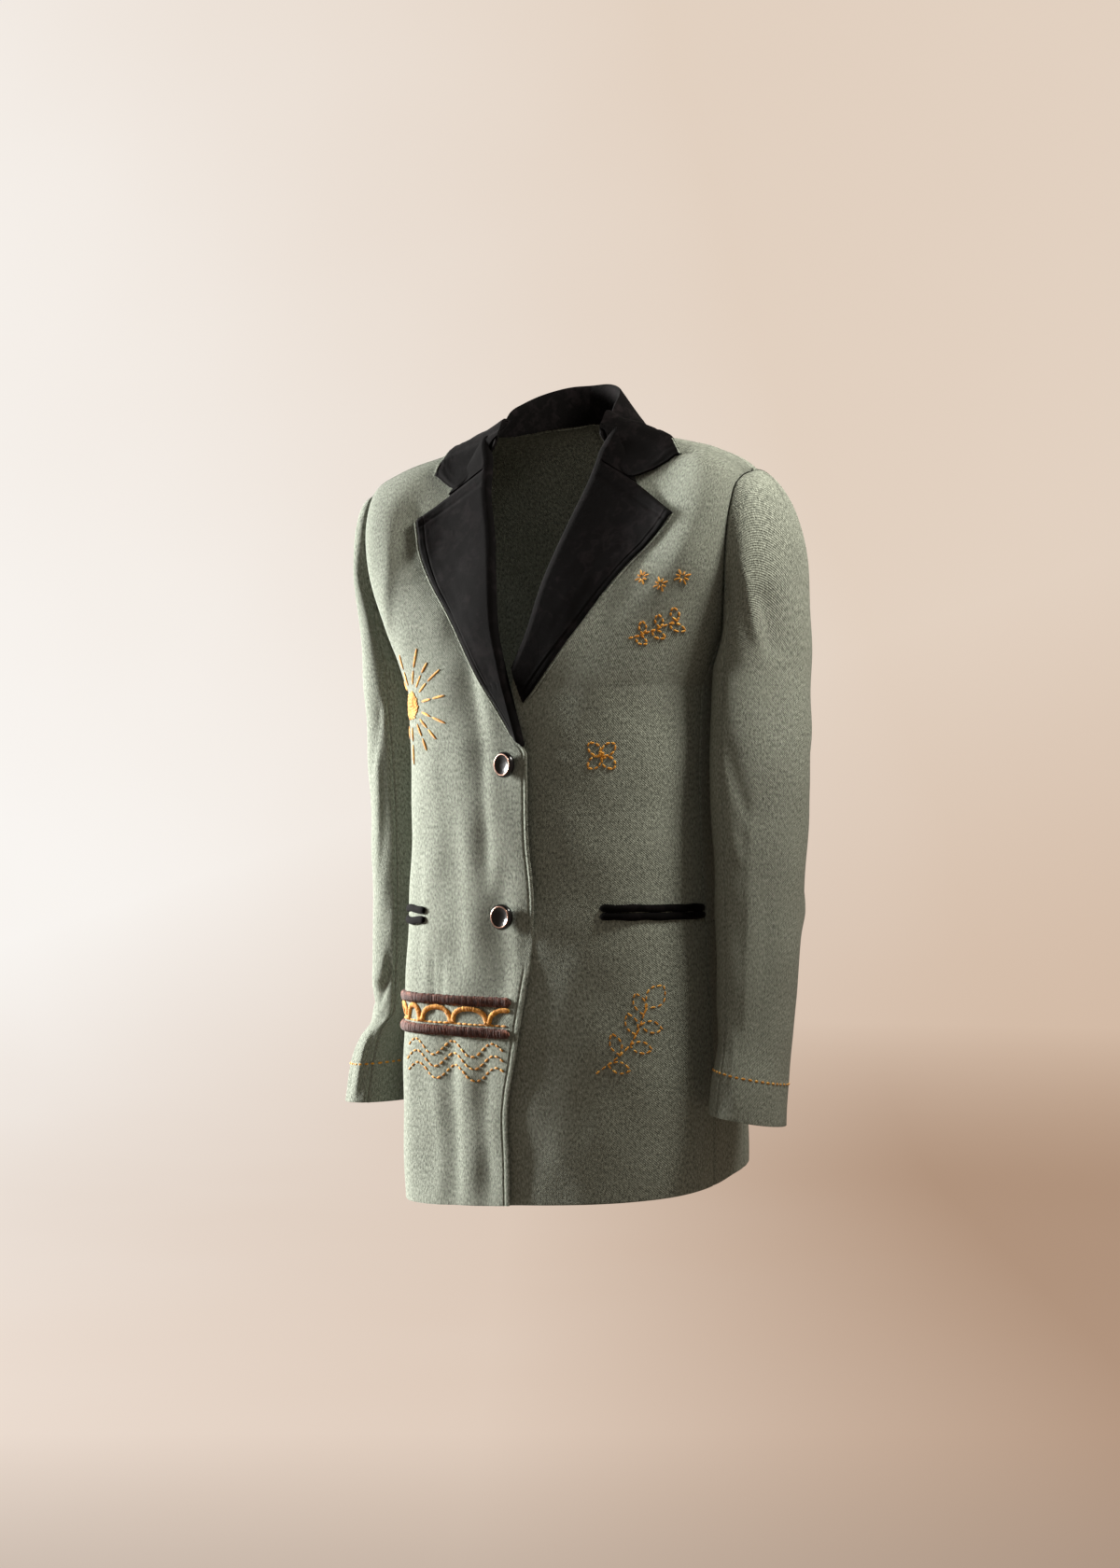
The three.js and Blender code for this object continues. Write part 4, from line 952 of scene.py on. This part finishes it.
# %% [markdown]
# The collar stands up from the neck seam, rolls over and falls to the shoulder. It could be lofted
# between two outlines, but then the roll sags. Here each section is a smooth curve through six points
# from the free edge over the roll to the seam, and the sections run from the left gorge round the
# back of the neck to the right one. Its fall keeps at least 4 mm off the shoulder.

# %% Collar
COLLAR = columns("share rollX rollY rollZ seamX seamY edgeX edgeY drift",
    [0, 0, 66, 46, 0, 66, 0, 80, 0], [0.2, 22, 61, 45, 28, 61, 30, 77, 0],
    [0.4, 41, 46, 38, 50, 47, 56, 61, 0], [0.55, 52, 27, 28, 64, 28, 74, 42, 0],
    [0.7, 57.5, 8, 16, 71, 7, 88, 21, 0], [0.85, 58, -7, -8, 69, -8, 110, -1, 3],
    [1, 57.5, -18, -28, 64, -17, 133, -20, 9])

def on_top(x, y, lift):
    """A point on the shoulder, given from above."""
    x, y = np.broadcast_arrays(np.asarray(x, float), np.asarray(y, float))
    level, angle = np.zeros(x.shape), np.zeros(x.shape)
    for behind in (False, True):
        here = (y > 0) == behind
        if here.any():
            sign = -1 if behind else 1
            def forward(rise):
                return sign * body(angle_at_x(x[here], rise, behind), rise)[..., 1]
            found = solve(0.3, 1, forward, sign * y[here], 22)
            level[here], angle[here] = found, angle_at_x(x[here], found, behind)
    return on_body(angle, level, lift)

def clear_of_shoulder(points, least=4):
    under = on_top(np.abs(points[..., 0]), points[..., 1], 0)
    normal_z = (on_top(np.abs(points[..., 0]), points[..., 1], 1) - under)[..., 2]
    ease = 2.2 * np.exp(-((points[..., 1] + 9) / 9) ** 2)
    lowest = under[..., 2] + (least + ease) / np.maximum(normal_z, 0.4)
    return stack(points[..., 0], points[..., 1], np.maximum(points[..., 2], lowest))

def curve(knots, count):
    """Centripetal Catmull-Rom through knots of shape (knot, section, 3)."""
    ends = [2 * knots[0] - knots[1], *knots, 2 * knots[-1] - knots[-2]]
    gaps = [np.sqrt(np.linalg.norm(b - a, axis=-1, keepdims=True)) for a, b in zip(ends, ends[1:])]
    pieces = []
    for k in range(1, len(ends) - 2):
        a, b, c, d = ends[k - 1:k + 3]
        ga, gb, gc = gaps[k - 1:k + 2]
        out = ((b - a) / ga - (c - a) / (ga + gb) + (c - b) / gb) * gb
        into = ((c - b) / gb - (d - b) / (gb + gc) + (d - c) / gc) * gb
        pieces += [bow(b, out, c, into, t) for t in np.linspace(0, 1, count, endpoint=False)]
    return np.array(pieces + [knots[-1]])

def collar_sections(shares, side):
    at = {name: along(COLLAR, "share", shares, name) for name in COLLAR if name not in ("share", "step")}
    seam = on_top(at["seamX"], at["seamY"], 0.6)
    roll = clear_of_shoulder(stack(at["rollX"], at["rollY"], at["rollZ"]))
    edge = on_top(at["edgeX"] + side * at["drift"], at["edgeY"], 4)
    outward = unit(stack(edge[:, 0] - roll[:, 0], edge[:, 1] - roll[:, 1], 0))
    middle = lerp(edge, roll, 0.45) + outward * 1.5
    notch = on_front(1, np.array([92.0]), np.array([-57.5]), 5)
    middle = lerp(middle, notch, smooth(shares, 0.84, 1)[:, None])
    under = roll - [0, 0, 4]
    seam = seam - outward * 2.6 - [0, 0, 3]
    knots = [edge, middle, under + outward * 3.6, roll, under - outward * 2.16, seam]
    points = curve(np.array(knots), 8)
    points[:-9] = clear_of_shoulder(points[:-9])
    return points * [side, 1, 1]

def collar():
    """The collar's cloth, and the line of its free edge."""
    shares = 1 - (1 - np.linspace(0, 1, 84)) ** 1.25
    half = {side: collar_sections(shares, side) for side in (-1, 1)}
    points = np.concatenate([half[1][:, ::-1], half[-1][:, 1:]], axis=1)
    across = np.linalg.norm(np.diff(points, axis=0), axis=2)
    from_edge = np.concatenate([np.zeros((1, points.shape[1])), np.cumsum(across, axis=0)])
    from_tip = np.concatenate([[0], np.cumsum(np.linalg.norm(np.diff(points[8], axis=0), axis=1))])
    from_tip = np.minimum(from_tip, from_tip[-1] - from_tip)[None, :] * np.ones_like(from_edge)
    fall = 1 - smooth(from_edge, 30, 38)
    lift = stitched(from_edge, STITCH_IN) + stitched(from_tip, STITCH_IN) * fall
    rows, cols = points.shape[:2]
    piece = grid_mesh("velvet_collar", np.linspace(0, 1, cols), np.linspace(0, 1, rows),
        lambda u, v: lifted(points, lift), VELVET, VELVET_WALL)
    return piece, points[0]

collar_piece, collar_rim = collar()
declare(collar_piece, ["collar"], (0.32, 0.09))
print("collar")

# %% [markdown]
# A pocket here is a slit between two thin rolls of velvet, the welts. A curve with a bevel would make
# a tube, but it can't be flat on the cloth, or swell and narrow. So a roll is a closed grid round a
# line, with its own breadth and height at each point, that closes to a point at both ends.

# %% Rolls along a line
def rounded(count, reach=3):
    """Sizes for the points of a line: 1, and less toward both ends, as in a quarter circle."""
    from_end = np.minimum(np.arange(count), np.arange(count)[::-1])
    return np.sqrt(1 - (1 - np.clip(from_end / reach, 0, 1)) ** 2)

def roll_mesh(name, line, across, normal, wide, high, material, turns=12):
    """line, across and normal have one row for each point; wide and high are half sizes."""
    count = len(line)
    across, normal = across * (wide * rounded(count))[:, None], normal * (high * rounded(count))[:, None]
    def place(u, v):
        angle = 360 * v[:, :, None]
        k = np.rint(u[0] * (count - 1)).astype(int)
        return line[k][None] + across[k][None] * cosine(angle) + normal[k][None] * sine(angle)
    us, vs = np.linspace(0, 1, count), np.linspace(0, 1, turns + 1)
    return grid_mesh(name, us, vs, place, material, wall=0, close=True)

def across_of(line, normal):
    return unit(np.cross(normal, unit(np.gradient(line, axis=0))))

POCKETS = rows_of("hand side z inner gape", ["right", -1, -460.5, -99, 2.4], ["left", 1, -454.5, 89, 0.2])
WELT = {"gap": 0.55, "off_middle": 3.0, "wide": 3.5, "high": 2.2, "lift": 0.9, "end_turn": 82.6}
for pocket in POCKETS:
    side, z = pocket["side"], pocket["z"]
    start = abs(float(front_at(pocket["inner"], z)[0]))
    angle = side * np.linspace(start, WELT["end_turn"], 60)
    run = np.linspace(0, 1, 60)
    wide = WELT["wide"] + 0.15 * np.sin(run * 31)
    for edge, sign in (("upper", 1), ("lower", -1)):
        gap = WELT["gap"] + pocket["gape"] * hump(run - 0.32, 0.26)
        middle = z - BUST_Z + sign * (gap + WELT["off_middle"]) + 0.25 * np.sin(run * 23 + sign)
        bare = body(angle, middle)
        normal = body_normal(angle, middle)
        line = bare + normal * (lap(side, bare[:, 0], bare[:, 2]) + WELT["lift"])[:, None]
        name = "pocket_" + pocket["hand"] + "_" + edge + "_welt"
        piece = roll_mesh("velvet_" + name, line, across_of(line, normal), normal, wide, WELT["high"], VELVET)
        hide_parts(name)
print("four welts")

# %% [markdown]
# A thin edge of wool shows along the free edges of the velvet, where the cloth under it is turned
# over. It could be the cloth's own rim, but that is hidden below, so a fine roll lies along each edge.

# %% Wool beads
BEAD = 1.0

def bead_along(name, line, normal):
    piece = roll_mesh(name, line, across_of(line, normal), normal, BEAD, BEAD * 0.8, WOOL, 8)

for hand, side in HANDS:
    table = LAPELS[hand]
    run = np.linspace(0.03, 0.995, 120)
    x, z = along(table, "step", run, "x"), along(table, "step", run, "z")
    out = unit(stack(-np.gradient(z), np.gradient(x))) * -1.5
    x, z = x + out[:, 0], z + out[:, 1]
    angle, level = front_at(side * x, z)
    edge = on_body(angle, level, 1.5 + lap(side, side * x, z))
    bead_along("bead_lapel_" + hand, edge, body_normal(angle, level))
forward_up = unit(np.broadcast_to([0, -0.3, 1.0], collar_rim.shape))
bead_along("bead_collar", collar_rim - [0, 0, 2.6], forward_up)
print("three beads")

# %% [markdown]
# Embroidery is real stitches: short lengths of yarn that dip into the cloth at both ends. A bump map
# would lie flat against the light, so each stitch is a small capsule from point to point. Hundreds of
# them would be slow one by one, so they are cut from one long strip of grid, and each has few faces.

# %% Stitches
def stitch_mesh(name, stitches, material, sides=8, rings=6):
    """Each stitch has two ends, the cloth's normal, a half breadth and a half height.
    It takes rings + 1 rows of the strip, and the faces between two stitches are deleted."""
    first, last, normal, wide, high = (np.array(part) for part in zip(*stitches))
    way = unit(last - first)
    across = unit(np.cross(normal, way))
    up = np.cross(way, across)
    half = np.linalg.norm(last - first, axis=1) / 2
    bm, col, row = flat_grid(sides + 1, len(first) * (rings + 1))
    k, ring = row // (rings + 1), row % (rings + 1)
    turn = 360 * (col % sides) / sides
    reach = sine(180 * ring / rings) ** 0.8 * (ring % rings > 0)
    points = (first + last)[k] / 2 - way[k] * (half[k] * cosine(180 * ring / rings))[:, None]
    points = points + across[k] * (wide[k] * reach * cosine(turn))[:, None]
    points = points + up[k] * (high[k] * reach * sine(turn))[:, None]
    maps = np.stack([col / sides, ring / rings], -1).tolist()
    layer = bm.loops.layers.uv.new("UVMap")
    for vert, point, uv, stitch in zip(bm.verts, points * MM, maps, k.tolist()):
        vert.co, vert.index = point, stitch
        for loop in vert.link_loops:
            loop[layer].uv = uv
    between = [face for face in bm.faces if len({vert.index for vert in face.verts}) > 1]
    bmesh.ops.delete(bm, geom=between, context="FACES_ONLY")
    bmesh.ops.remove_doubles(bm, verts=bm.verts, dist=1e-7)
    piece = piece_of(name, bm, material)
    return piece

print("stitch helper ready")

# %% [markdown]
# A line of stitches is easiest to plan flat, as on a paper pattern. Two pins put a flat point on the
# cloth: one by its breadth and height on a front, and one by its girth along the cloth, so that a band
# that runs round the hip keeps its length. Both also follow the folds.

# %% From a flat pattern to the cloth
def resample(points, step):
    """Points an even distance apart along a flat line."""
    points = np.asarray(points, float)
    length = np.concatenate([[0], np.cumsum(np.linalg.norm(np.diff(points, axis=0), axis=1))])
    at = np.arange(0, length[-1], step)
    return np.stack([np.interp(at, length, points[:, k]) for k in (0, 1)], -1)

def cloth_height(side, x, z):
    return lap(side, x, z) + creases(FRONT_CREASES, x, z) + ripples(x, z)

def by_x(side):
    """A pin for flat points given by their breadth and height on one front."""
    def pin(points, lift):
        x, z = points[:, 0], points[:, 1]
        angle, level = front_at(x, z)
        return on_body(angle, level, lift + cloth_height(side, x, z)), body_normal(angle, level)
    return pin

def by_girth(side):
    """A pin for flat points given by their girth from the centre front, along the cloth, and their height."""
    def pin(points, lift):
        girth, z = points[:, 0], points[:, 1]
        angle, level = side * at_girth(z.mean(), girth), z - BUST_Z
        x = body(angle, level)[:, 0]
        return on_body(angle, level, lift + cloth_height(side, x, z)), body_normal(angle, level)
    return pin

# A flat stitch is one row: its two ends on the flat cloth, its half breadth, half height and lift.
def sew(rows, pin):
    """Puts flat stitches on the cloth with one of the two pins above."""
    rows = np.array(rows)
    first, normal = pin(rows[:, 0:2], rows[:, 6])
    last, other = pin(rows[:, 2:4], rows[:, 6])
    return list(zip(first, last, unit(normal + other), rows[:, 4], rows[:, 5]))

print("two pins ready")

# %% [markdown]
# Handwork is never even. Each stitch draws its length, its gap and its breadth from the same dice,
# which are seeded, so every run sews the same garment.

# %% Running stitch and wrapped cords
SEED, FINE = 11, 0.25
dice = np.random.default_rng(SEED)

def running(path, stitch=4.8, gap=1.9, wide=1.0, high=0.9, lift=0.25):
    """Running stitch along a flat line."""
    fine = resample(path, FINE)
    made, start = [], 0.0
    while start + stitch * 0.6 < len(fine) * FINE:
        length = stitch * dice.uniform(0.85, 1.15)
        a, b = int(start / FINE), min(int((start + length) / FINE), len(fine) - 1)
        if b - a > 4:
            ends = fine[[a, b]] + dice.normal(0, 0.12, (2, 2))
            made.append([*ends[0], *ends[1], wide * dice.uniform(0.9, 1.15), high, lift])
        start += length + gap * dice.uniform(0.8, 1.2)
    return made

def wrapped(path, half, pitch, wide, high, lift):
    """A cord whipped with yarn: one stitch across the path at each pitch, smaller toward both ends."""
    fine = resample(path, pitch)
    way = unit(np.gradient(fine, axis=0))
    cross = np.stack([-way[:, 1], way[:, 0]], -1)
    count = len(fine)
    size = rounded(count) * 0.5 + 0.5
    reach = cross * (half * size * dice.uniform(0.9, 1.1, count))[:, None]
    reach = reach + way * pitch * dice.uniform(0.1, 0.5, count)[:, None]
    sizes = [wide * dice.uniform(0.85, 1.2, count), high * size * dice.uniform(0.78, 1.12, count)]
    return np.column_stack([fine - reach, fine + reach, *sizes, np.full(count, lift)]).tolist()

print("stitch helpers ready")

# %% [markdown]
# Two brown cords run across the right skirt, each whipped with yarn, and gold arches stand between
# them. Backstitch and three waves of running stitch follow below. The cords could be tubes with a
# twisted map, but their bumps would be painted on. Wraps that lie side by side are bumps in themselves.

# %% Bands, braid and waves
BAND = {"z": -538, "spacing": 28.5, "half": 4.3, "start": -3, "end": 172}
# Each arch has a start and an end round the girth, and an opening turn: the first one is cut short.
ARCHES = ((-17, 21, 105), (21, 64, 180), (65, 104, 180), (106, 131, 180), (133, 168, 180))
WAVES = {"rows": (-583, -594, -605), "start": 4, "end": 128, "high": 7.0, "length": 49}

def level_line(start, end, z, count=80):
    return np.stack([np.linspace(start, end, count), np.full(count, z)], -1)

for index, name in enumerate(("band_upper", "band_lower")):
    line = level_line(BAND["start"], BAND["end"], BAND["z"] - index * BAND["spacing"])
    wraps = wrapped(line, BAND["half"] + 0.6, 1.9, 1.1, 3.5, 0.9)
    piece = stitch_mesh("wraps_" + name, sew(wraps, by_girth(-1)), BROWN_YARN)
    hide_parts(name)

foot = BAND["z"] - BAND["spacing"] + BAND["half"] + 4.6
arches = []
for start, end, opens in ARCHES:
    turns = np.linspace(opens, 0, 30)
    across = (start + end) / 2 + (end - start - 4) / 2 * cosine(turns)
    arches += list(zip(across, foot + 12.5 * sine(turns) ** 0.8))
wraps = wrapped(arches, 2.5, 1.35, 1.0, 2.2, 0.8)
braid = stitch_mesh("wraps_scallop_braid", sew(wraps, by_girth(-1)), GOLD_YARN)
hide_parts("scallop_braid")

below = running(level_line(0, BAND["end"], BAND["z"] - BAND["spacing"] + 7.0), 5.6, 0.7, 0.95)
for row, z in enumerate(WAVES["rows"]):
    girth = np.linspace(WAVES["start"], WAVES["end"], 160)
    swing = np.sin(2 * np.pi * (girth - WAVES["start"] + row * 2) / WAVES["length"])
    below += running(np.stack([girth, z + WAVES["high"] * swing], -1))
print("bands, braid and", len(below), "gold stitches")

# %% [markdown]
# The motifs are common garden ones: a rayed flower, small stars, a leaf sprig, a blossom and a long
# stem with leaves. They could be drawn as curves and turned into stitches. Here each kind of stitch
# group is a small function, so a motif is a few calls with a place, a size and a turn.

# %% Stitch groups for motifs
def seeds(centre, radius, count, length=3.0):
    """A disc filled with short stitches, set as seeds sit in a flower."""
    k = np.arange(count)
    turn, reach = k * 137.5, radius * np.sqrt((k + 0.5) / count)
    spots = np.array(centre) + reach[:, None] * stack(cosine(turn), sine(turn))
    way = stack(cosine(turn + 60), sine(turn + 60)) * length / 2
    sizes = [np.full(count, 1.15), np.full(count, 1.1), np.full(count, 0.3)]
    return np.column_stack([spots - way, spots + way, *sizes]).tolist()

def star(centre, radius):
    """Eight stitches round an open centre, long and short by turns."""
    centre, made = np.array(centre), []
    for turn, share in ((20, 1), (65, 0.75), (110, 1), (155, 0.75)):
        way = np.array([cosine(turn), sine(turn)]) * radius * share
        made.append([*(centre - way), *(centre - way * 0.25), 0.85, 0.8, 0.3])
        made.append([*(centre + way * 0.25), *(centre + way), 0.85, 0.8, 0.3])
    return made

def leaf(root, turn, length, half):
    t = np.linspace(0, 1, 20)
    loop = np.concatenate([t, t[::-1]])
    off = half * np.sin(np.pi * loop) * np.where(np.arange(40) < 20, 1, -1)
    c, s = cosine(turn), sine(turn)
    return np.stack([root[0] + loop * length * c - off * s, root[1] + loop * length * s + off * c], -1)

print("seeds, stars and leaves")

# %% The motifs
FLOWER = {"centre": (-123, -264), "disc": 13, "rays": 15, "inner": (20, 34), "outer": (36, 52)}
STARS, STAR_RADIUS = ((124, -153), (143, -160), (162, -154)), 7.4
BLOSSOM = (91, -313.5)

chest = seeds(FLOWER["centre"], FLOWER["disc"], 70, 5.4)
for k in range(FLOWER["rays"]):
    turn = k * 360 / FLOWER["rays"] + 9 + 4 * np.sin(k * 1.7)
    way = np.array([cosine(turn), sine(turn)])
    for (near, far), uneven in ((FLOWER["inner"], 0), (FLOWER["outer"], 4 * np.sin(k * 2.4))):
        ends = [*(FLOWER["centre"] + way * near), *(FLOWER["centre"] + way * (far + uneven))]
        chest.append([*ends, 1.25, 1.1, 0.3])

left = []
for centre in STARS:
    left += star(centre, STAR_RADIUS)
sprig = stack(np.linspace(115, 156, 30), -208 + 16 * np.linspace(0, 1, 30) ** 1.3)
left += running(sprig, 4.2, 1.0)
for k, t in enumerate((4, 9, 14, 19, 24, 28)):
    left += running(leaf(sprig[t], 95 if k % 2 else -32, 12, 3.6), 3.8, 1.0, 0.95)
for turn in (45, 135, 225, 315):
    left += running(leaf(BLOSSOM, turn, 17, 5.2), 4.8, 1.0, 1.0)
left += seeds(BLOSSOM, 3.6, 7, 3.0)

run = np.linspace(0, 1, 60)
stem = stack(lerp(86, 140, run) + 8 * np.sin(4 * run), lerp(-600, -540, run))
low_left = running(stem, 5.0, 1.8, 0.85, 0.7)
for k, t in enumerate((8, 17, 26, 35, 44, 53)):
    low_left += running(leaf(stem[t], 112 if k % 2 else -12, 21, 5.5), 4.6, 1.8, 0.8, 0.65)
low_left += running(leaf(stem[-1], 50, 26, 9), 4.6, 1.8, 0.8, 0.65)
front_stitches = sew(chest, by_x(-1)) + sew(below, by_girth(-1))
front_stitches += sew(left, by_x(1)) + sew(low_left, by_girth(1))
stitch_mesh("embroidery_front", front_stitches, GOLD_YARN)
print(len(front_stitches), "stitches on the front")

# %% [markdown]
# A row of gold running stitch goes round each cuff, two fingers' breadth above its edge. The flat pins
# can't reach a sleeve, so these stitches walk round the sleeve's own ring at that height.

# %% Cuff stitches
CUFF_ROW, CUFF_STITCH, CUFF_GAP = 38, 4.2, 2.6
cuffs = []
for hand, side in HANDS:
    drops = RINGS[hand]["drop"]
    fall = 1 + float(np.interp(drops[-1] - CUFF_ROW, drops, np.arange(len(drops))))
    turns = np.arange(0, 360, 0.5)
    ring = sleeve_at(hand, side, turns, fall)
    way = np.roll(ring, -1, 0) - np.roll(ring, 1, 0)
    normal = unit(np.cross(way, [0, 0, 1.0])) * -side
    around = np.where(turns > 180, turns - 360, turns)
    inner = np.minimum(np.abs(around - SLEEVE_TURN), np.abs(around + SLEEVE_TURN)) * 0.6
    folds = sleeve_folds(hand, turns, ring[:, 2])
    ring = ring + normal * (folds * smooth(inner, 1, 12) + 0.25)[:, None]
    length = np.concatenate([[0], np.cumsum(np.linalg.norm(np.diff(ring, axis=0), axis=1))])
    start = 0.0
    while start < length[-1] - 5:
        a, b = np.searchsorted(length, [start, start + CUFF_STITCH * dice.uniform(0.85, 1.15)])
        b = min(b, len(ring) - 1)
        cuffs.append((ring[a], ring[b], normal[(a + b) // 2], 1.0, 0.9))
        start = length[b] + CUFF_GAP * dice.uniform(0.8, 1.2)
stitch_mesh("embroidery_cuffs", cuffs, GOLD_YARN)
print(len(cuffs), "stitches round the cuffs")

# %% [markdown]
# A button is turned on a lathe: a body with a recessed face, and a ring set into its rim. Spin could
# turn the section, but the button's axis leans with the cloth. A closed grid round that axis makes the
# same shape in its place at once. Each button leans a little to where its thread pulls it.

# %% Buttons
BUTTONS = rows_of("name x z tilt", ["button_top", 2, -321, 0.26], ["button_bottom", -3, -460, 0.1])
BUTTON_LIFT, BUTTON_FACES = 0.6, 56
BODY_LINE = [(0, 0), (7.4, 0), (8.6, 1.2), (10.6, 2.0), (11.7, 3.2), (12, 4.6), (11.8, 6.2), (11.2, 7.4),
    (10.3, 8.1), (9.4, 8.2), (8.6, 7.7), (7.6, 7.4), (6.4, 6.9), (5.0, 6.5), (2.6, 6.3), (0, 6.25)]
RING_LINE = [(8.7, 8.0), (9.0, 8.55), (9.5, 8.7), (10.0, 8.5), (10.2, 8.0), (9.5, 7.5), (8.7, 8.0)]

def turned_mesh(name, line, base, way, material):
    line = np.array(line, float)
    first = unit(np.cross(way, [0, 0, 1.0]))
    second = np.cross(way, first)
    def place(u, v):
        k = np.rint(v[:, 0] * (len(line) - 1)).astype(int)
        radius, height = line[k, 0][:, None, None], line[k, 1][:, None, None]
        angle = 360 * u[:, :, None]
        return base + radius * (first * cosine(angle) + second * sine(angle)) + way * height
    us, vs = np.linspace(0, 1, BUTTON_FACES + 1), np.linspace(0, 1, len(line))
    return grid_mesh(name, us, vs, place, material, wall=0, close=True)

for spec in BUTTONS:
    angle, level = front_at(spec["x"], spec["z"])
    base = on_body(angle, level, BUTTON_LIFT + lap(-1, spec["x"], spec["z"]))
    way = unit(body_normal(angle, level) - [spec["tilt"], 0, 0])
    body_piece = turned_mesh("gloss_" + spec["name"], BODY_LINE, base, way, GLOSS)
    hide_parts(spec["name"])
    ring = turned_mesh("ring_" + spec["name"], RING_LINE, base, way, COPPER)
print("two buttons")

# %% [markdown]
# The jacket hangs in a plain pale room: a floor that curves up into a round wall, so no corner shows.
# The room could be lit by lamps, but they would also light the cloth. So the room glows softly by
# itself, with its light and shade painted into the glow: pale and bright on one side, warm grey-brown
# painted shade on the other, deeper low down and toward the camera, and the lamps are free to shape the
# cloth.

# %% The room's glow, with its painted light and shade
# The first colour is painted light on the bright side. The rest are painted shade: warm on the far side, tan
# low down, deeper in the low corner, and dim far aside and on the camera's side.
LIT_PALE, WARM_SHADE, TAN_LOW_SHADE, CORNER_SHADE, DIM_SHADE = (colour(252, 250, 247), colour(226, 209, 193), colour(206, 180, 158),
    colour(160, 128, 104), colour(136, 123, 111))

def room_paint():
    paint = Paint("room", Roughness=0.9, Specular_IOR_Level=0.0, Emission_Strength=1.0)
    spot = paint.place()
    x, y, height = (paint.axis(spot, name) for name in "XYZ")
    aside = x * float(view_right[0]) + y * float(view_right[1])
    behind = x * float(view_way[0]) + y * float(view_way[1])
    # Noise makes the painted light and shade uneven.
    light_unevenness = paint.noise(spot, 1.1, 2.0, 0.5) * 0.1
    # Painted light on one side, warm painted shade on the other.
    share = (paint.spread(aside + height * 0.35, -1.6, 1.0) + light_unevenness).clamp()
    wall = paint.mix(share, LIT_PALE, WARM_SHADE)
    # Painted shade, deeper low down and to the camera's right.
    low = (paint.spread(height * -1.0 + aside * 0.35, 0.2, 1.7) + light_unevenness).clamp()
    wall = paint.mix(low, wall, TAN_LOW_SHADE)
    # Painted shade in the low corner on the camera's right.
    corner = paint.spread(height * -1.0, 0.9, 1.2).clamp() * paint.spread(aside, -0.1, 0.8).clamp()
    wall = paint.mix(corner * 0.9, wall, CORNER_SHADE)
    # Painted shade far to the right and on the camera's side: the glow is dimmed there, so less light reaches
    # the cloth.
    wall = paint.mix(paint.spread(aside, 1.6, 2.4).clamp() * 0.9, wall, DIM_SHADE)
    wall = paint.mix(paint.spread(behind, 0.9, -0.9).clamp(), wall, DIM_SHADE)
    paint.surface(Base_Color=colour(30, 26, 24), Emission_Color=wall)
    return paint.material

print("room paint ready")

# %% Room
def room():
    line = columns("r z", [0.01, -1150], [2600, -1150], [3700, -1120], [4500, -900], [4900, -300],
        [5000, 600], [5000, 3200])
    def place(u, v):
        radius, height = along(line, "step", v, "r"), along(line, "step", v, "z")
        return stack(radius * cosine(-360 * u), radius * sine(-360 * u), height + 0 * u)
    piece = grid_mesh("room", np.linspace(0, 1, 97), np.linspace(0, 1, 60), place, room_paint(), wall=0)
    piece.data.flip_normals()
    return piece

room()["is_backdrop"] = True
print("room")

# %% [markdown]
# The main light stands at shoulder height on the wearer's right and rakes across the front, so that
# each fold shows and the far front lies in soft shade. One lamp from the front would flatten the folds.
# Two weak ones open the shade: one over the left shoulder, and one in front. All look at the middle.

# %% Lights
LOOK_AT = Vector((0, 0, -0.36))

def area_light(name, place, size, power, tint):
    lamp = bpy.data.lights.new(name, "AREA")
    lamp.shape, lamp.size, lamp.energy, lamp.color = "SQUARE", size, power, tint
    piece = bpy.data.objects.new(name, lamp)
    piece.location = place
    piece.rotation_euler = (LOOK_AT - piece.location).to_track_quat("-Z", "Y").to_euler()
    bpy.context.scene.collection.objects.link(piece)

area_light("key", (-2.45, -0.36, 0.1), 0.6, 325, (1.0, 0.985, 0.955))
area_light("crown", (0.62, -0.02, 0.4), 0.2, 12, (1.0, 0.95, 0.87))
area_light("fill", (0.6, -0.8, 0.55), 0.4, 1.4, (1.0, 0.96, 0.9))
bpy.context.scene.view_settings.view_transform = "Standard"
print("three lights")

# %% Measure and finish
for piece in bpy.context.scene.objects:
    if piece.type == "MESH" and piece.name.startswith(("cloth", "velvet")):
        print(piece.name, len(piece.data.polygons))
boxes = {"cad": cad_box, "visual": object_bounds()}
{name: [list(corner) for corner in box] for name, box in boxes.items()}
